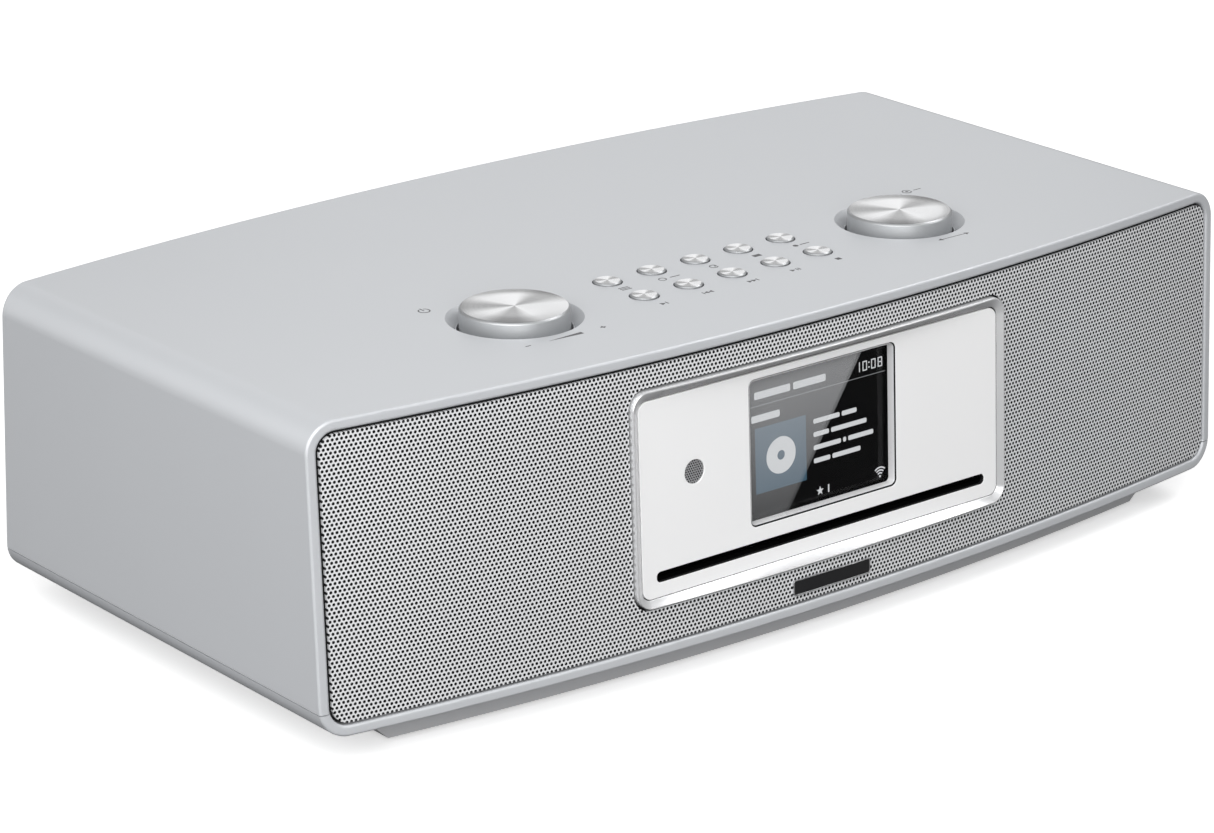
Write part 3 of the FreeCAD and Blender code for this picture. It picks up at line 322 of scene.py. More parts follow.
def make_materials():
    """Every material of the set.  The record's slots go by the same names."""
    finish("case_silver", (0.585, 0.60, 0.622), 0.40, metallic=0.20, grain=9000.0, mottle=0.01,
           grain_depth=0.000004, rough_spread=0.015, wear=0.04, specular=0.8)
    finish("plinth_grey", (0.60, 0.605, 0.62), 0.48, metallic=0.2, grain=7000.0, mottle=0.02)
    finish("foot_rubber", (0.02, 0.02, 0.02), 0.8, grain=2500.0, grain_depth=0.00003, wear=0.3)
    finish("grille_silver", (0.86, 0.87, 0.885), 0.38, metallic=0.30, grain=6000.0, wear=0.1,
           wear_radius=0.0002)
    # painted shade: the walls inside the holes of the grille and the receiver's mesh are near black, for the
    # shadow in them
    finish("grille_holes", (0.012, 0.012, 0.013), 0.6, grain=4000.0, wear=0.0)
    finish("black_plastic", (0.012, 0.012, 0.013), 0.6, grain=1800.0, grain_depth=0.00003, specular=0.25)
    # the bezel's faces that point down take painted shade
    finish("frame_chrome", (0.80, 0.805, 0.815), 0.26, metallic=0.55, grain=3000.0, grain_depth=0.0000004,
           rough_spread=0.01, mottle=0.005, wear=0.0, painted_underside_shade=0.12)
    finish("wall_grey", (0.84, 0.84, 0.85), 0.3, metallic=0.3, grain=3000.0, grain_depth=0.0000004,
           mottle=0.005, wear=0.0)
    finish("panel_white", (0.86, 0.86, 0.862), 0.42, grain=9000.0, grain_depth=0.000001,
           mottle=0.006, rough_spread=0.01, wear=0.0)
    finish("screen_black", (0.006, 0.006, 0.007), 0.12, grain=2000.0, grain_depth=0.000003)
    finish("felt", (0.002, 0.002, 0.002), 1.0, grain=5000.0, grain_depth=0.0001, specular=0.0, wear=0.0)
    finish("badge_dark", (0.035, 0.035, 0.037), 0.34, metallic=0.6, grain=4000.0, wear=0.5)
    finish("badge_edge", (0.62, 0.62, 0.63), 0.3, metallic=1.0, grain=4000.0)
    finish("eye_mesh", (0.40, 0.40, 0.41), 0.4, metallic=0.4, grain=4000.0)
    finish("steel", (0.52, 0.52, 0.53), 0.3, metallic=1.0, grain=2500.0, mottle=0.06)
    finish("white_nylon", (0.74, 0.74, 0.70), 0.5, grain=1500.0)
    finish("circuit_board", (0.02, 0.10, 0.04), 0.35, grain=700.0, mottle=0.15, coat=0.4)
    finish("drive_plastic", (0.035, 0.035, 0.038), 0.6, grain=1500.0, grain_depth=0.00003)
    finish("soft_rubber", (0.025, 0.025, 0.025), 0.75, grain=2200.0, grain_depth=0.00003)
    finish("basket_metal", (0.03, 0.03, 0.03), 0.4, metallic=0.4, grain=2000.0)
    finish("magnet_ferrite", (0.06, 0.06, 0.063), 0.6, metallic=0.3, grain=1200.0)
    finish("cone_paper", (0.035, 0.034, 0.033), 0.9, grain=2600.0, grain_depth=0.00008, sheen=0.3)
    finish("socket_plastic", (0.02, 0.02, 0.02), 0.3, grain=2000.0)
    clear_pane("screen_glass")
    screen_face("screen_face")
    screen_glow("screen_white", (0.80, 0.82, 0.84), 0.85)
    screen_glow("screen_grey", (0.30, 0.31, 0.32), 0.8)
    screen_glow("screen_slate", (0.055, 0.11, 0.16), 0.9)
    spun_metal("knob_aluminium", (0.93, 0.935, 0.945), 0.24)
    spun_metal("button_aluminium", (0.93, 0.935, 0.945), 0.26, ring_scale=110.0)
    # the sides and recesses of knobs and buttons: a rougher aluminium without turning marks, whose darker
    # colour is painted shade
    finish("knob_side", (0.50, 0.51, 0.52), 0.40, metallic=0.75, grain=4000.0, mottle=0.02)
    finish("legend_ink", (0.11, 0.11, 0.115), 0.6, grain=4000.0, wear=0.0)


SMOOTH_ANGLE = 24
JOIN_DISTANCE = 1e-6


def smoothing():
    """A modifier tree that joins split corners and smooths every edge flatter than SMOOTH_ANGLE."""
    tree = bpy.data.node_groups.new("smooth_faces", "GeometryNodeTree")
    for way in ("INPUT", "OUTPUT"):
        tree.interface.new_socket("Geometry", in_out=way, socket_type="NodeSocketGeometry")
    steps = [tree.nodes.new(kind) for kind in (
        "NodeGroupInput", "GeometryNodeMergeByDistance", "GeometryNodeSetShadeSmooth",
        "GeometryNodeSetShadeSmooth", "NodeGroupOutput")]
    _, merge, faces, edges, _ = steps
    merge.inputs["Distance"].default_value = JOIN_DISTANCE
    faces.domain, edges.domain = "FACE", "EDGE"
    angle = tree.nodes.new("GeometryNodeInputMeshEdgeAngle")
    gentle = tree.nodes.new("FunctionNodeCompare")
    gentle.data_type, gentle.operation = "FLOAT", "LESS_THAN"
    gentle.inputs["B"].default_value = math.radians(SMOOTH_ANGLE)
    tree.links.new(angle.outputs["Unsigned Angle"], gentle.inputs["A"])
    tree.links.new(gentle.outputs["Result"], edges.inputs["Shade Smooth"])
    for before, after in zip(steps, steps[1:]):
        tree.links.new(before.outputs[0], after.inputs[0])
    return tree


def paint_cad_nodes():
    """Gives every CAD node the material its slot names, and smooth shading over its curves."""
    slots = {part["node"]: part["material_slot"] for part in frame["record"]["subparts"]}
    tree = smoothing()
    for name, node in frame["nodes"].items():
        node.data.materials.clear()
        node.data.materials.append(MATERIALS[slots[name]])
        node.modifiers.new("smooth_faces", "NODES").node_group = tree
        node.modifiers.new("weighted_normals", "WEIGHTED_NORMAL").keep_sharp = True


# ---- mesh helpers -------------------------------------------------------------
def new_object(name, data):
    piece = bpy.data.objects.new(name, data)
    bpy.context.scene.collection.objects.link(piece)
    return piece


def add_mesh(name, vertices, faces, materials, body, replaces=(), smooth=None):
    mesh = bpy.data.meshes.new(name)
    mesh.from_pydata(vertices, [], faces)
    mesh.validate()
    piece = new_object(name, mesh)
    dress(piece, materials, body, replaces, smooth)
    return piece


def dress(piece, materials, body, replaces=(), smooth=None):
    """Gives a piece its materials and the body it rides on, and hides the CAD nodes it stands for."""
    for material in materials:
        piece.data.materials.append(MATERIALS[material])
    if smooth is not None:
        smooth_by_angle(piece, smooth)
    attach(piece, body)
    if replaces:
        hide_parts(*replaces)


def smooth_by_angle(piece, degrees):
    """Smooth shading everywhere except across edges sharper than the angle."""
    mesh = piece.data
    mesh.polygons.foreach_set("use_smooth", [True] * len(mesh.polygons))
    work = bmesh.new()
    work.from_mesh(mesh)
    limit = math.radians(degrees)
    for edge in work.edges:
        edge.smooth = edge.is_boundary or edge.calc_face_angle(math.pi) < limit
    work.to_mesh(mesh)
    work.free()


def outline_points(half, low, high, radius, corner_steps, side_steps):
    """Points round a rounded rectangle in x and z, anticlockwise from the lower right, seen from the front.

    side_steps gives the number of steps along a straight side, from the side's index and its length.
    """
    corners = ((half - radius, low + radius, -90), (half - radius, high - radius, 0),
               (-half + radius, high - radius, 90), (-half + radius, low + radius, 180))
    points = []
    for index, (x, z, start) in enumerate(corners):
        for step in range(corner_steps + 1):
            angle = math.radians(start + 90 * step / corner_steps)
            points.append((x + radius * math.cos(angle), z + radius * math.sin(angle)))
        next_x, next_z, next_start = corners[(index + 1) % 4]
        angle = math.radians(next_start)
        goal_x, goal_z = next_x + radius * math.cos(angle), next_z + radius * math.sin(angle)
        x0, z0 = points[-1]
        count = side_steps(index, math.hypot(goal_x - x0, goal_z - z0))
        points += [(x0 + (goal_x - x0) * k / count, z0 + (goal_z - z0) * k / count) for k in range(1, count)]
    return points


def rounded_outline(half, low, high, radius, spacing=3 * MM):
    """A rounded rectangle with points about spacing apart on its straight sides."""
    return outline_points(half, low, high, radius, 10, lambda _, length: max(1, round(length / spacing)))


def ring_outline(half, low, high, radius, along=24, up=12, corner_steps=10):
    """A rounded rectangle with set numbers of points, so that rings of different sizes match."""
    return outline_points(half, low, high, radius, corner_steps, lambda index, _: along if index % 2 else up)


def sweep_rings(rings):
    """Faces between rings of equal length, each ring one line of a closed profile."""
    count, size = len(rings), len(rings[0])
    vertices = [point for ring in rings for point in ring]
    faces = []
    for r in range(count):
        for k in range(size):
            after = (k + 1) % size
            upper = (r + 1) % count
            faces.append((r * size + k, r * size + after, upper * size + after, upper * size + k))
    return vertices, faces


LATHE_SMOOTH = 28


def lathe(name, centre, profile, body, materials, replaces, steps, bright_from):
    """A piece turned about a vertical axis.  Profile points are (radius, z).

    The profile's bands from number bright_from on have the first material, and the others the second.
    """
    vertices, faces, kinds = [], [], []
    rows = []
    for radius, z in profile:
        if radius == 0.0:
            rows.append([len(vertices)])
            vertices.append((centre[0], centre[1], z))
            continue
        rows.append(list(range(len(vertices), len(vertices) + steps)))
        for k in range(steps):
            angle = TAU * k / steps
            vertices.append((centre[0] + radius * math.cos(angle), centre[1] + radius * math.sin(angle), z))
    for index in range(len(rows) - 1):
        low, high = rows[index], rows[index + 1]
        for k in range(steps):
            after = (k + 1) % steps
            if len(low) == 1:
                faces.append((low[0], high[after], high[k]))
            elif len(high) == 1:
                faces.append((low[k], low[after], high[0]))
            else:
                faces.append((low[k], low[after], high[after], high[k]))
            kinds.append(0 if index >= bright_from else 1)
    piece = add_mesh(name, vertices, faces, materials, body, replaces)
    piece.data.polygons.foreach_set("material_index", kinds)
    smooth_by_angle(piece, LATHE_SMOOTH)


# ---- perforated grille --------------------------------------------------------
HOLE_PITCH, ROW_PITCH, HOLE_R = 1.43 * MM, 1.235 * MM, 0.49 * MM
HOLE_SIDES = 8
GRILLE_BANDS = 4
GRILLE_THICKNESS, GRILLE_R = 0.9 * MM, 5.3 * MM
FRAME_CLEARANCE, FRAME_HOLE_R = 0.6 * MM, 6.1 * MM


def perforated_sheet(x_low, x_high, z_low, z_high, thickness, pitch, row_pitch, radius):
    """A flat closed sheet of staggered round holes, as vertices, faces, and 1 for each face inside a hole."""
    vertices, faces, kinds, shared = [], [], [], {}

    def point(x, z, layer):
        key = (round(x * 1e7), round(z * 1e7), layer)
        if key not in shared:
            shared[key] = len(vertices)
            vertices.append((x, layer * thickness, z))
        return shared[key]

    rim_edges = {}
    columns = round((x_high - x_low) / pitch)
    rows = round((z_high - z_low) / row_pitch)
    cell = [(1, 0), (1, 1), (0, 1), (-1, 1), (-1, 0), (-1, -1), (0, -1), (1, -1)]
    turns = [TAU * k / HOLE_SIDES for k in range(HOLE_SIDES)]
    for row in range(rows):
        z = z_high - (row + 0.5) * row_pitch
        for column in range(columns):
            x = x_low + (column + 0.5 + 0.5 * (row % 2)) * pitch
            outer, inner = [], []
            for layer in (0, 1):
                outer.append([point(x + a * pitch / 2, z + b * row_pitch / 2, layer) for a, b in cell])
                inner.append([point(x + radius * math.cos(turn), z + radius * math.sin(turn), layer)
                              for turn in turns])
            for k in range(HOLE_SIDES):
                m = (k + 1) % HOLE_SIDES
                faces.append((outer[0][k], outer[0][m], inner[0][m], inner[0][k]))
                faces.append((outer[1][m], outer[1][k], inner[1][k], inner[1][m]))
                faces.append((inner[0][k], inner[0][m], inner[1][m], inner[1][k]))
                # the wall inside each hole takes the second material, which is painted shade
                kinds += [0, 0, 1]
                edge = tuple(sorted((outer[0][k], outer[0][m])))
                if edge in rim_edges:
                    del rim_edges[edge]
                else:
                    rim_edges[edge] = (outer[0][m], outer[0][k], outer[1][k], outer[1][m])
    faces += list(rim_edges.values())
    kinds += [0] * len(rim_edges)
    return vertices, faces, kinds


def loose_mesh(name, vertices, faces, materials, kinds):
    """A mesh object with a material for each face, not yet part of the set."""
    mesh = bpy.data.meshes.new(name)
    mesh.from_pydata(vertices, [], faces)
    for material in materials:
        mesh.materials.append(MATERIALS[material])
    mesh.polygons.foreach_set("material_index", kinds)
    return new_object(name, mesh)


def prism(name, outline, y_low, y_high):
    """A plain closed prism used to trim another mesh."""
    count = len(outline)
    vertices = [(x, y, z) for y in (y_low, y_high) for x, z in outline]
    faces = [tuple(range(count)), tuple(range(2 * count - 1, count - 1, -1))]
    for k in range(count):
        m = (k + 1) % count
        faces.append((m, k, count + k, count + m))
    mesh = bpy.data.meshes.new(name)
    mesh.from_pydata(vertices, [], faces)
    return new_object(name, mesh)


def trim(piece, tool, operation):
    """Keeps what is inside the tool (INTERSECT) or outside it (DIFFERENCE), and removes the tool."""
    modifier = piece.modifiers.new("trim", "BOOLEAN")
    modifier.operation = operation
    modifier.solver = "MANIFOLD"
    modifier.object = tool
    apply_modifiers(piece)
    bpy.data.objects.remove(tool)


def apply_modifiers(piece):
    graph = bpy.context.evaluated_depsgraph_get()
    done = bpy.data.meshes.new_from_object(piece.evaluated_get(graph))
    piece.modifiers.clear()
    piece.data = done


def front_grille():
    """The perforated sheet, made flat in bands, trimmed, and then bent onto the bowed front."""
    half, low, high = GRILLE_HIGH.x, GRILLE_LOW.z, GRILLE_HIGH.z
    columns = math.ceil(2 * half / HOLE_PITCH) + 2
    x_start = -columns / 2 * HOLE_PITCH
    z_high = high + 0.15 * ROW_PITCH
    z_low = z_high - math.ceil((z_high - low) / ROW_PITCH) * ROW_PITCH
    outer = rounded_outline(half, low, high, GRILLE_R)
    hole = rounded_outline(FRAME_HIGH.x + FRAME_CLEARANCE, FRAME_LOW.z - FRAME_CLEARANCE,
                           FRAME_HIGH.z + FRAME_CLEARANCE, FRAME_HOLE_R)
    for band in range(GRILLE_BANDS):
        first, last = (round(columns * edge / GRILLE_BANDS) for edge in (band, band + 1))
        vertices, faces, kinds = perforated_sheet(
            x_start + first * HOLE_PITCH, x_start + last * HOLE_PITCH, z_low, z_high,
            GRILLE_THICKNESS, HOLE_PITCH, ROW_PITCH, HOLE_R)
        piece = loose_mesh("grille_band_%d" % (band + 1), vertices, faces,
                           ["grille_silver", "grille_holes"], kinds)
        trim(piece, prism("trim_outer", outer, -5 * MM, 6 * MM), "INTERSECT")
        trim(piece, prism("trim_hole", hole, -5 * MM, 6 * MM), "DIFFERENCE")
        for vertex in piece.data.vertices:
            vertex.co.y = FACE.y(vertex.co.x, vertex.co.z, vertex.co.y)
        dress(piece, [], "case", ["front_grille"])


# ---- display ------------------------------------------------------------------
PANEL_HALF, PANEL_R = PANEL_HIGH.x, 3.3 * MM
FRAME_HALF, FRAME_R = FRAME_HIGH.x, 5.5 * MM
FRAME_PROUD = 1.3 * MM
SCREEN_DEPTH = 4.2 * MM


def display_frame():
    """The bevelled ring.  Its outer edge follows the bowed front and its inner edge is flat."""
    rings = []
    inner_step, edge_step = 0.15 * MM, 0.1 * MM
    # each line of the profile: its share of the way from the outer to the inner outline, the surface it
    # follows, and its depth in millimetres, or for "mix" how far it is from the bowed to the flat surface
    lines = [(0.0, "face", 3.0), (0.0, "face", -0.8), (0.04, "face", -1.12), (0.11, "face", -1.3),
             (0.22, "mix", 0.04), (0.90, "mix", 0.95), (0.95, "mix", 1.0),
             (1.0, "panel", 0.12), (1.0, "panel", 2.4)]
    for share, kind, depth in lines:
        half = FRAME_HALF + (PANEL_HALF + inner_step - FRAME_HALF) * share
        low = FRAME_LOW.z + edge_step + (PANEL_LOW.z - FRAME_LOW.z - inner_step) * share
        high = FRAME_HIGH.z - edge_step + (PANEL_HIGH.z - FRAME_HIGH.z + inner_step) * share
        radius = FRAME_R + (PANEL_R - FRAME_R) * share
        ring = []
        for x, z in ring_outline(half, low, high, radius, along=60, up=24, corner_steps=14):
            if kind == "face":
                y = FACE.y(x, z, depth * MM)
            elif kind == "panel":
                y = panel_y(z, depth * MM)
            else:
                y = FACE.y(x, z, -FRAME_PROUD) * (1 - depth) + panel_y(z) * depth
            ring.append((x, y, z))
        rings.append(ring)
    vertices, faces = sweep_rings(rings)
    add_mesh("display_bezel", vertices, faces, ["frame_chrome"], "case",
             ["display_frame"], smooth=25)


def window_wall():
    """The sloping wall round the window, set in the panel with a hairline gap."""
    rings = []
    # each line of the profile, in millimetres: inset from the window's outline, depth behind the panel's face
    for inset, depth in ((0.38, 2.9), (0.38, 0.50), (0.43, 0.36), (0.50, 0.32), (0.56, 0.42),
                         (0.75, 2.9)):
        ring = ring_outline(WINDOW_HALF - inset * MM, WINDOW_LOW + inset * MM, WINDOW_HIGH - inset * MM,
                            WINDOW_R - inset * MM)
        rings.append([(x, panel_y(z, depth * MM), z) for x, z in ring])
    vertices, faces = sweep_rings(rings)
    add_mesh("window_wall", vertices, faces, ["wall_grey"], "case", ["display_panel"],
             smooth=30)


def outline_area(outline):
    """Positive when the outline runs anticlockwise."""
    ends = outline[1:] + outline[:1]
    return sum(x0 * y1 - x1 * y0 for (x0, y0), (x1, y1) in zip(outline, ends)) / 2


def shrink(outline, distance):
    """Moves every point of a closed outline inwards along its corner's bisector."""
    if outline_area(outline) < 0:
        outline = outline[::-1]
    moved = []
    for index, (x, y) in enumerate(outline):
        before, after = Vector(outline[index - 1]), Vector(outline[(index + 1) % len(outline)])
        here = Vector((x, y))
        arrive, leave = (here - before).normalized(), (after - here).normalized()
        normal = Vector((-arrive.y - leave.y, arrive.x + leave.x)).normalized()
        stretch = max(0.4, normal.dot(Vector((-leave.y, leave.x))))
        moved.append(tuple(here + normal * distance / stretch))
    return moved


def flat_piece(name, outlines, thickness, bevel, material, place, replaces=(), holes=()):
    """A sheet cut to closed outlines, with rounded edges.  place turns (x, z, depth) into a point."""
    curve = bpy.data.curves.new(name, "CURVE")
    curve.dimensions = "2D"
    curve.fill_mode = "BOTH"
    curve.extrude = max(thickness / 2 - bevel, 0.0)
    curve.bevel_depth = bevel
    curve.bevel_resolution = 2
    shrunk = [shrink(outline, bevel) for outline in outlines]
    shrunk += [shrink(hole, -bevel)[::-1] for hole in holes]
    for outline in shrunk:
        spline = curve.splines.new("POLY")
        spline.points.add(len(outline) - 1)
        spline.use_cyclic_u = True
        for point, (x, z) in zip(spline.points, outline):
            point.co = (x, z, 0.0, 1.0)
    shape = new_object(name, curve)
    graph = bpy.context.evaluated_depsgraph_get()
    mesh = bpy.data.meshes.new_from_object(shape.evaluated_get(graph))
    bpy.data.objects.remove(shape)
    piece = new_object(name, mesh)
    for vertex in mesh.vertices:
        x, z, out = vertex.co
        vertex.co = place(x, z, thickness / 2 - out)
    work = bmesh.new()
    work.from_mesh(mesh)
    bmesh.ops.remove_doubles(work, verts=work.verts, dist=JOIN_DISTANCE / 10)
    bmesh.ops.recalc_face_normals(work, faces=work.faces)
    work.to_mesh(mesh)
    work.free()
    mesh.materials.clear()
    dress(piece, [material], "case", replaces, smooth=35)
    piece.modifiers.new("weighted_normals", "WEIGHTED_NORMAL").keep_sharp = True
    return piece


def on_panel(depth):
    """Places a flat piece on the panel's plane, depth behind its face."""
    return lambda x, z, back: Vector((x, panel_y(z, depth + back), z))


def circle(x, z, radius, steps=40):
    turns = [TAU * k / steps for k in range(steps)]
    return [(x + radius * math.cos(turn), z + radius * math.sin(turn)) for turn in turns]


def display_panel():
    """The flat panel with its window, slot and eye hole; the walls of the window and slot are black."""
    gap, side_spacing = 0.2 * MM, 20 * MM
    outer = rounded_outline(PANEL_HALF - gap, PANEL_LOW.z + gap, PANEL_HIGH.z - gap, PANEL_R, side_spacing)
    window = rounded_outline(WINDOW_HALF, WINDOW_LOW, WINDOW_HIGH, WINDOW_R, side_spacing)
    slot_low = SLOT_Z - SLOT_HEIGHT / 2
    slot = rounded_outline(SLOT_HALF, slot_low, slot_low + SLOT_HEIGHT, SLOT_R, side_spacing)
    panel = flat_piece("centre_panel", [outer], 1.5 * MM, 0.2 * MM, "panel_white",
                       on_panel(0.0), ["display_panel"], holes=[window, slot, circle(EYE_X, EYE_Z, EYE_R)])
    panel.data.materials.append(MATERIALS["black_plastic"])
    for face in panel.data.polygons:
        x, z = abs(face.center.x), face.center.z
        in_slot = abs(z - SLOT_Z) < SLOT_HEIGHT and x < SLOT_HALF + MM
        in_window = WINDOW_LOW - MM < z < WINDOW_HIGH + MM and x < WINDOW_HALF + MM
        if (in_slot or in_window) and abs(face.normal.y) < 0.5:
            face.material_index = 1


def receiver_eye():
    """A finely perforated disc over the receiver, and the dark window behind it."""
    pitch, hole_radius, thickness = 0.86 * MM, 0.29 * MM, 0.4 * MM
    reach = math.ceil(EYE_R / pitch + 1) * pitch
    vertices, faces, kinds = perforated_sheet(-reach, reach, -reach, reach, thickness, pitch,
                                              pitch * 0.866, hole_radius)
    piece = loose_mesh("receiver_mesh", vertices, faces, ["eye_mesh", "grille_holes"], kinds)
    trim(piece, prism("trim_eye", circle(0.0, 0.0, EYE_R - 0.08 * MM), -2 * MM, 2 * MM), "INTERSECT")
    for vertex in piece.data.vertices:
        x, depth, z = vertex.co
        vertex.co = (x + EYE_X, panel_y(z + EYE_Z, depth + 0.35 * MM), z + EYE_Z)
    dress(piece, [], "case", ["ir_window"])
    flat_piece("receiver_window", [circle(EYE_X, EYE_Z, EYE_R - 0.05 * MM)], 1.8 * MM, 0.1 * MM,
               "screen_black", on_panel(1.3 * MM), ["ir_window"])


def screen():
    """The screen and the clear window in front of it."""
    gap, radius = 0.1 * MM, 3.4 * MM
    outline = rounded_outline(LENS_HIGH.x - gap, LENS_LOW.z + gap, LENS_HIGH.z - gap, radius, 20 * MM)
    flat_piece("screen_module", [outline], 2.7 * MM, 0.1 * MM, "screen_face",
               on_panel(SCREEN_DEPTH + 0.05 * MM), ["lcd_module"])
    flat_piece("screen_window", [outline], 1.1 * MM, 0.1 * MM, "screen_glass",
               on_panel(WINDOW_DEPTH), ["display_lens"])


def bar(x0, x1, z0, z1, radius=0.3):
    """A small bar with rounded corners, in millimetres."""
    x, z, width, height = (x0 + x1) / 2, (z0 + z1) / 2, x1 - x0, z1 - z0
    radius = min(radius, width / 2.01, height / 2.01)
    points = []
    for corner_x, corner_z, start in ((1, -1, -90), (1, 1, 0), (-1, 1, 90), (-1, -1, 180)):
        for step in range(5):
            angle = math.radians(start + 90 * step / 4)
            points.append(((x + corner_x * (width / 2 - radius) + radius * math.cos(angle)) * MM,
                           (z + corner_z * (height / 2 - radius) + radius * math.sin(angle)) * MM))
    return points


def stroke(x0, x1, z0, z1):
    """A printed or lit line with nearly square ends, in millimetres."""
    return bar(x0, x1, z0, z1, 0.1)


def polygon(*points):
    return [(x * MM, z * MM) for x, z in points]


def arc_band(x, z, radius, width, start, end, steps=14):
    """Part of a ring, between two angles in degrees."""
    outline = []
    for r, sweep in ((radius + width / 2, range(steps + 1)), (radius - width / 2, range(steps, -1, -1))):
        for step in sweep:
            angle = math.radians(start + (end - start) * step / steps)
            outline.append(((x + r * math.cos(angle)) * MM, (z + r * math.sin(angle)) * MM))
    return outline


def dot(x, z, radius, steps=18):
    return circle(x * MM, z * MM, radius * MM, steps)


# the strokes of each digit that the clock uses
SEGMENTS = {"0": "abcdef", "1": "bc", "8": "abcdefg"}


def digit(value, x, z, width=1.8, height=3.1, thick=0.34):
    """A digit of straight strokes that never touch, with its lower left corner at x, z."""
    middle, top, right = z + height / 2, z + height, x + width
    half, cut = thick / 2, 0.04
    near, far = x + thick + cut, right - thick - cut
    strokes = {
        "a": (near, far, top - thick, top), "b": (right - thick, right, middle + cut, top),
        "c": (right - thick, right, z, middle - cut), "d": (near, far, z, z + thick),
        "e": (x, x + thick, z, middle - cut), "f": (x, x + thick, middle + cut, top),
        "g": (near, far, middle - half, middle + half)}
    return [stroke(*strokes[key]) for key in SEGMENTS[value]]


def words(x, z, lengths, height=1.5, gap=0.9):
    """Plain bars that stand where words would be, from a left end and a base line."""
    bars = []
    for length in lengths:
        bars.append(bar(x, x + length, z, z + height, radius=0.45))
        x += length + gap
    return bars


def star(x, z, radius, inner_share=0.42):
    points = []
    for k in range(10):
        angle = math.radians(90 + 36 * k)
        reach = radius * inner_share if k % 2 else radius
        points.append((x + reach * math.cos(angle), z + reach * math.sin(angle)))
    return polygon(*points)


def mark_piece(name, outlines, material, place, holes=()):
    """A set of thin flat marks, made as one piece."""
    flat_piece(name, outlines, 0.04 * MM, 0.0, material, place, holes=holes)


def clock(x, z):
    """Four digits and a colon.  x and z are the base of the first digit's cell."""
    outlines = [dot(x + 4.9, z + 0.8, 0.26), dot(x + 4.9, z + 2.3, 0.26)]
    for value, offset in (("1", -0.6), ("0", 2.3), ("0", 5.8), ("8", 8.5)):
        outlines += digit(value, x + offset, z)
    return outlines


def screen_icons():
    """A star, a stroke, and arcs over a dot for the strength of the signal."""
    signal_x, signal_z = 26.3, 43.4
    arcs = [arc_band(signal_x, signal_z, radius, 0.45, 48, 132) for radius in (1.2, 2.1, 3.0)]
    return [star(1.8, 44.6, 1.5), stroke(5.0, 5.5, 43.4, 45.9)] + arcs + [dot(signal_x, signal_z + 0.1, 0.35)]


def screen_marks():
    """What the lit screen shows: a clock, plain bars for words, general symbols, and a tile with a disc."""
    front = on_panel(SCREEN_DEPTH - 0.02 * MM)
    ahead = on_panel(SCREEN_DEPTH - 0.07 * MM)
    title = words(-23.7, 79.0, (14.2, 13.0), height=2.3, gap=1.2) + words(-25.0, 71.9, (11.2,), height=2.2)
    lines, line_step = [], 4.2
    for row, lengths in enumerate(((10.6, 6.0), (6.2, 14.4), (11.0, 1.2, 10.2), (6.6, 11.4))):
        lines += words(-0.5, 66.4 - row * line_step, lengths)
    mark_piece("screen_text", clock(17.4, 78.7) + title + lines + screen_icons(),
               "screen_white", front)
    mark_piece("screen_rule", [bar(-27.4, 28.8, 76.85, 77.05, 0.05)], "screen_grey", front)
    tile_x, tile_z, half_width, half_height = -13.6, 59.65, 10.1, 10.35
    tile = bar(tile_x - half_width, tile_x + half_width, tile_z - half_height, tile_z + half_height, 0.2)
    mark_piece("screen_tile", [tile], "screen_slate", front)
    mark_piece("screen_disc", [dot(tile_x, tile_z, 5.8, 48)], "screen_white", ahead,
               holes=[dot(tile_x, tile_z, 1.5, 24)])


# ---- printed legends ----------------------------------------------------------
SYMBOL_HALF = 0.9          # half the height of a button's symbol, in millimetres


def triangle(x, y, size, way):
    """A media triangle pointing along way, +1 or -1."""
    back, tip = x - way * size * 0.45, x + way * size * 0.45
    return polygon(*((back, y - size / 2), (tip, y), (back, y + size / 2))[::way])


def upright(x0, x1, y):
    """An upright stroke as high as a button's symbol."""
    return stroke(x0, x1, y - SYMBOL_HALF, y + SYMBOL_HALF)


def block(x0, x1, y):
    """A rectangle as high as a button's symbol."""
    return polygon((x0, y - SYMBOL_HALF), (x1, y - SYMBOL_HALF), (x1, y + SYMBOL_HALF), (x0, y + SYMBOL_HALF))


def volume_legends(x, y):
    """Round the left knob: a power symbol behind it; less, more and a widening wedge in front."""
    return [
        arc_band(x - 17.3, y + 21.8, 1.75, 0.42, 115, 425),
        stroke(x - 17.5, x - 17.1, y + 21.9, y + 24.2),
        stroke(x - 14.4, x - 12.4, y - 24.0, y - 23.6),
        stroke(x + 13.3, x + 15.3, y - 24.2, y - 23.8),
        stroke(x + 14.1, x + 14.5, y - 25.0, y - 23.0),
        polygon((x - 6.0, y - 24.1), (x + 6.4, y - 25.0), (x + 6.4, y - 23.4))]


def select_legends(x, y):
    """Round the right knob: a two-headed arrow in front; a ring, a dot and a dash behind it."""
    return [
        stroke(x - 3.6, x + 5.8, y - 24.15, y - 23.85),
        triangle(x - 4.6, y - 24.0, 1.8, -1),
        triangle(x + 6.8, y - 24.0, 1.8, 1),
        arc_band(x + 23.0, y + 21.6, 1.5, 0.36, 0, 345),
        dot(x + 23.0, y + 21.6, 0.5),
        stroke(x + 25.8, x + 29.0, y + 21.3, y + 21.7)]


def rear_button_legends(pitch, y):
    """Under the rear row: a list, a ring and dash, an open ring and dot, a block, and a dot and dash."""
    last = 2 * pitch
    marks = [stroke(-last - 1.8, -last + 2.0, y - 1.0 + step, y - 0.62 + step) for step in range(3)]
    return marks + [
        arc_band(-pitch - 2.8, y, 1.2, 0.36, 20, 380),
        stroke(-pitch + 0.2, -pitch + 4.0, y - 0.2, y + 0.25),
        arc_band(0.2, y, 1.3, 0.36, 30, 330),
        dot(0.9, y, 0.45),
        block(pitch - 1.2, pitch + 1.8, y),
        dot(last - 1.2, y, 0.9),
        stroke(last + 0.6, last + 4.4, y - 0.2, y + 0.25)]


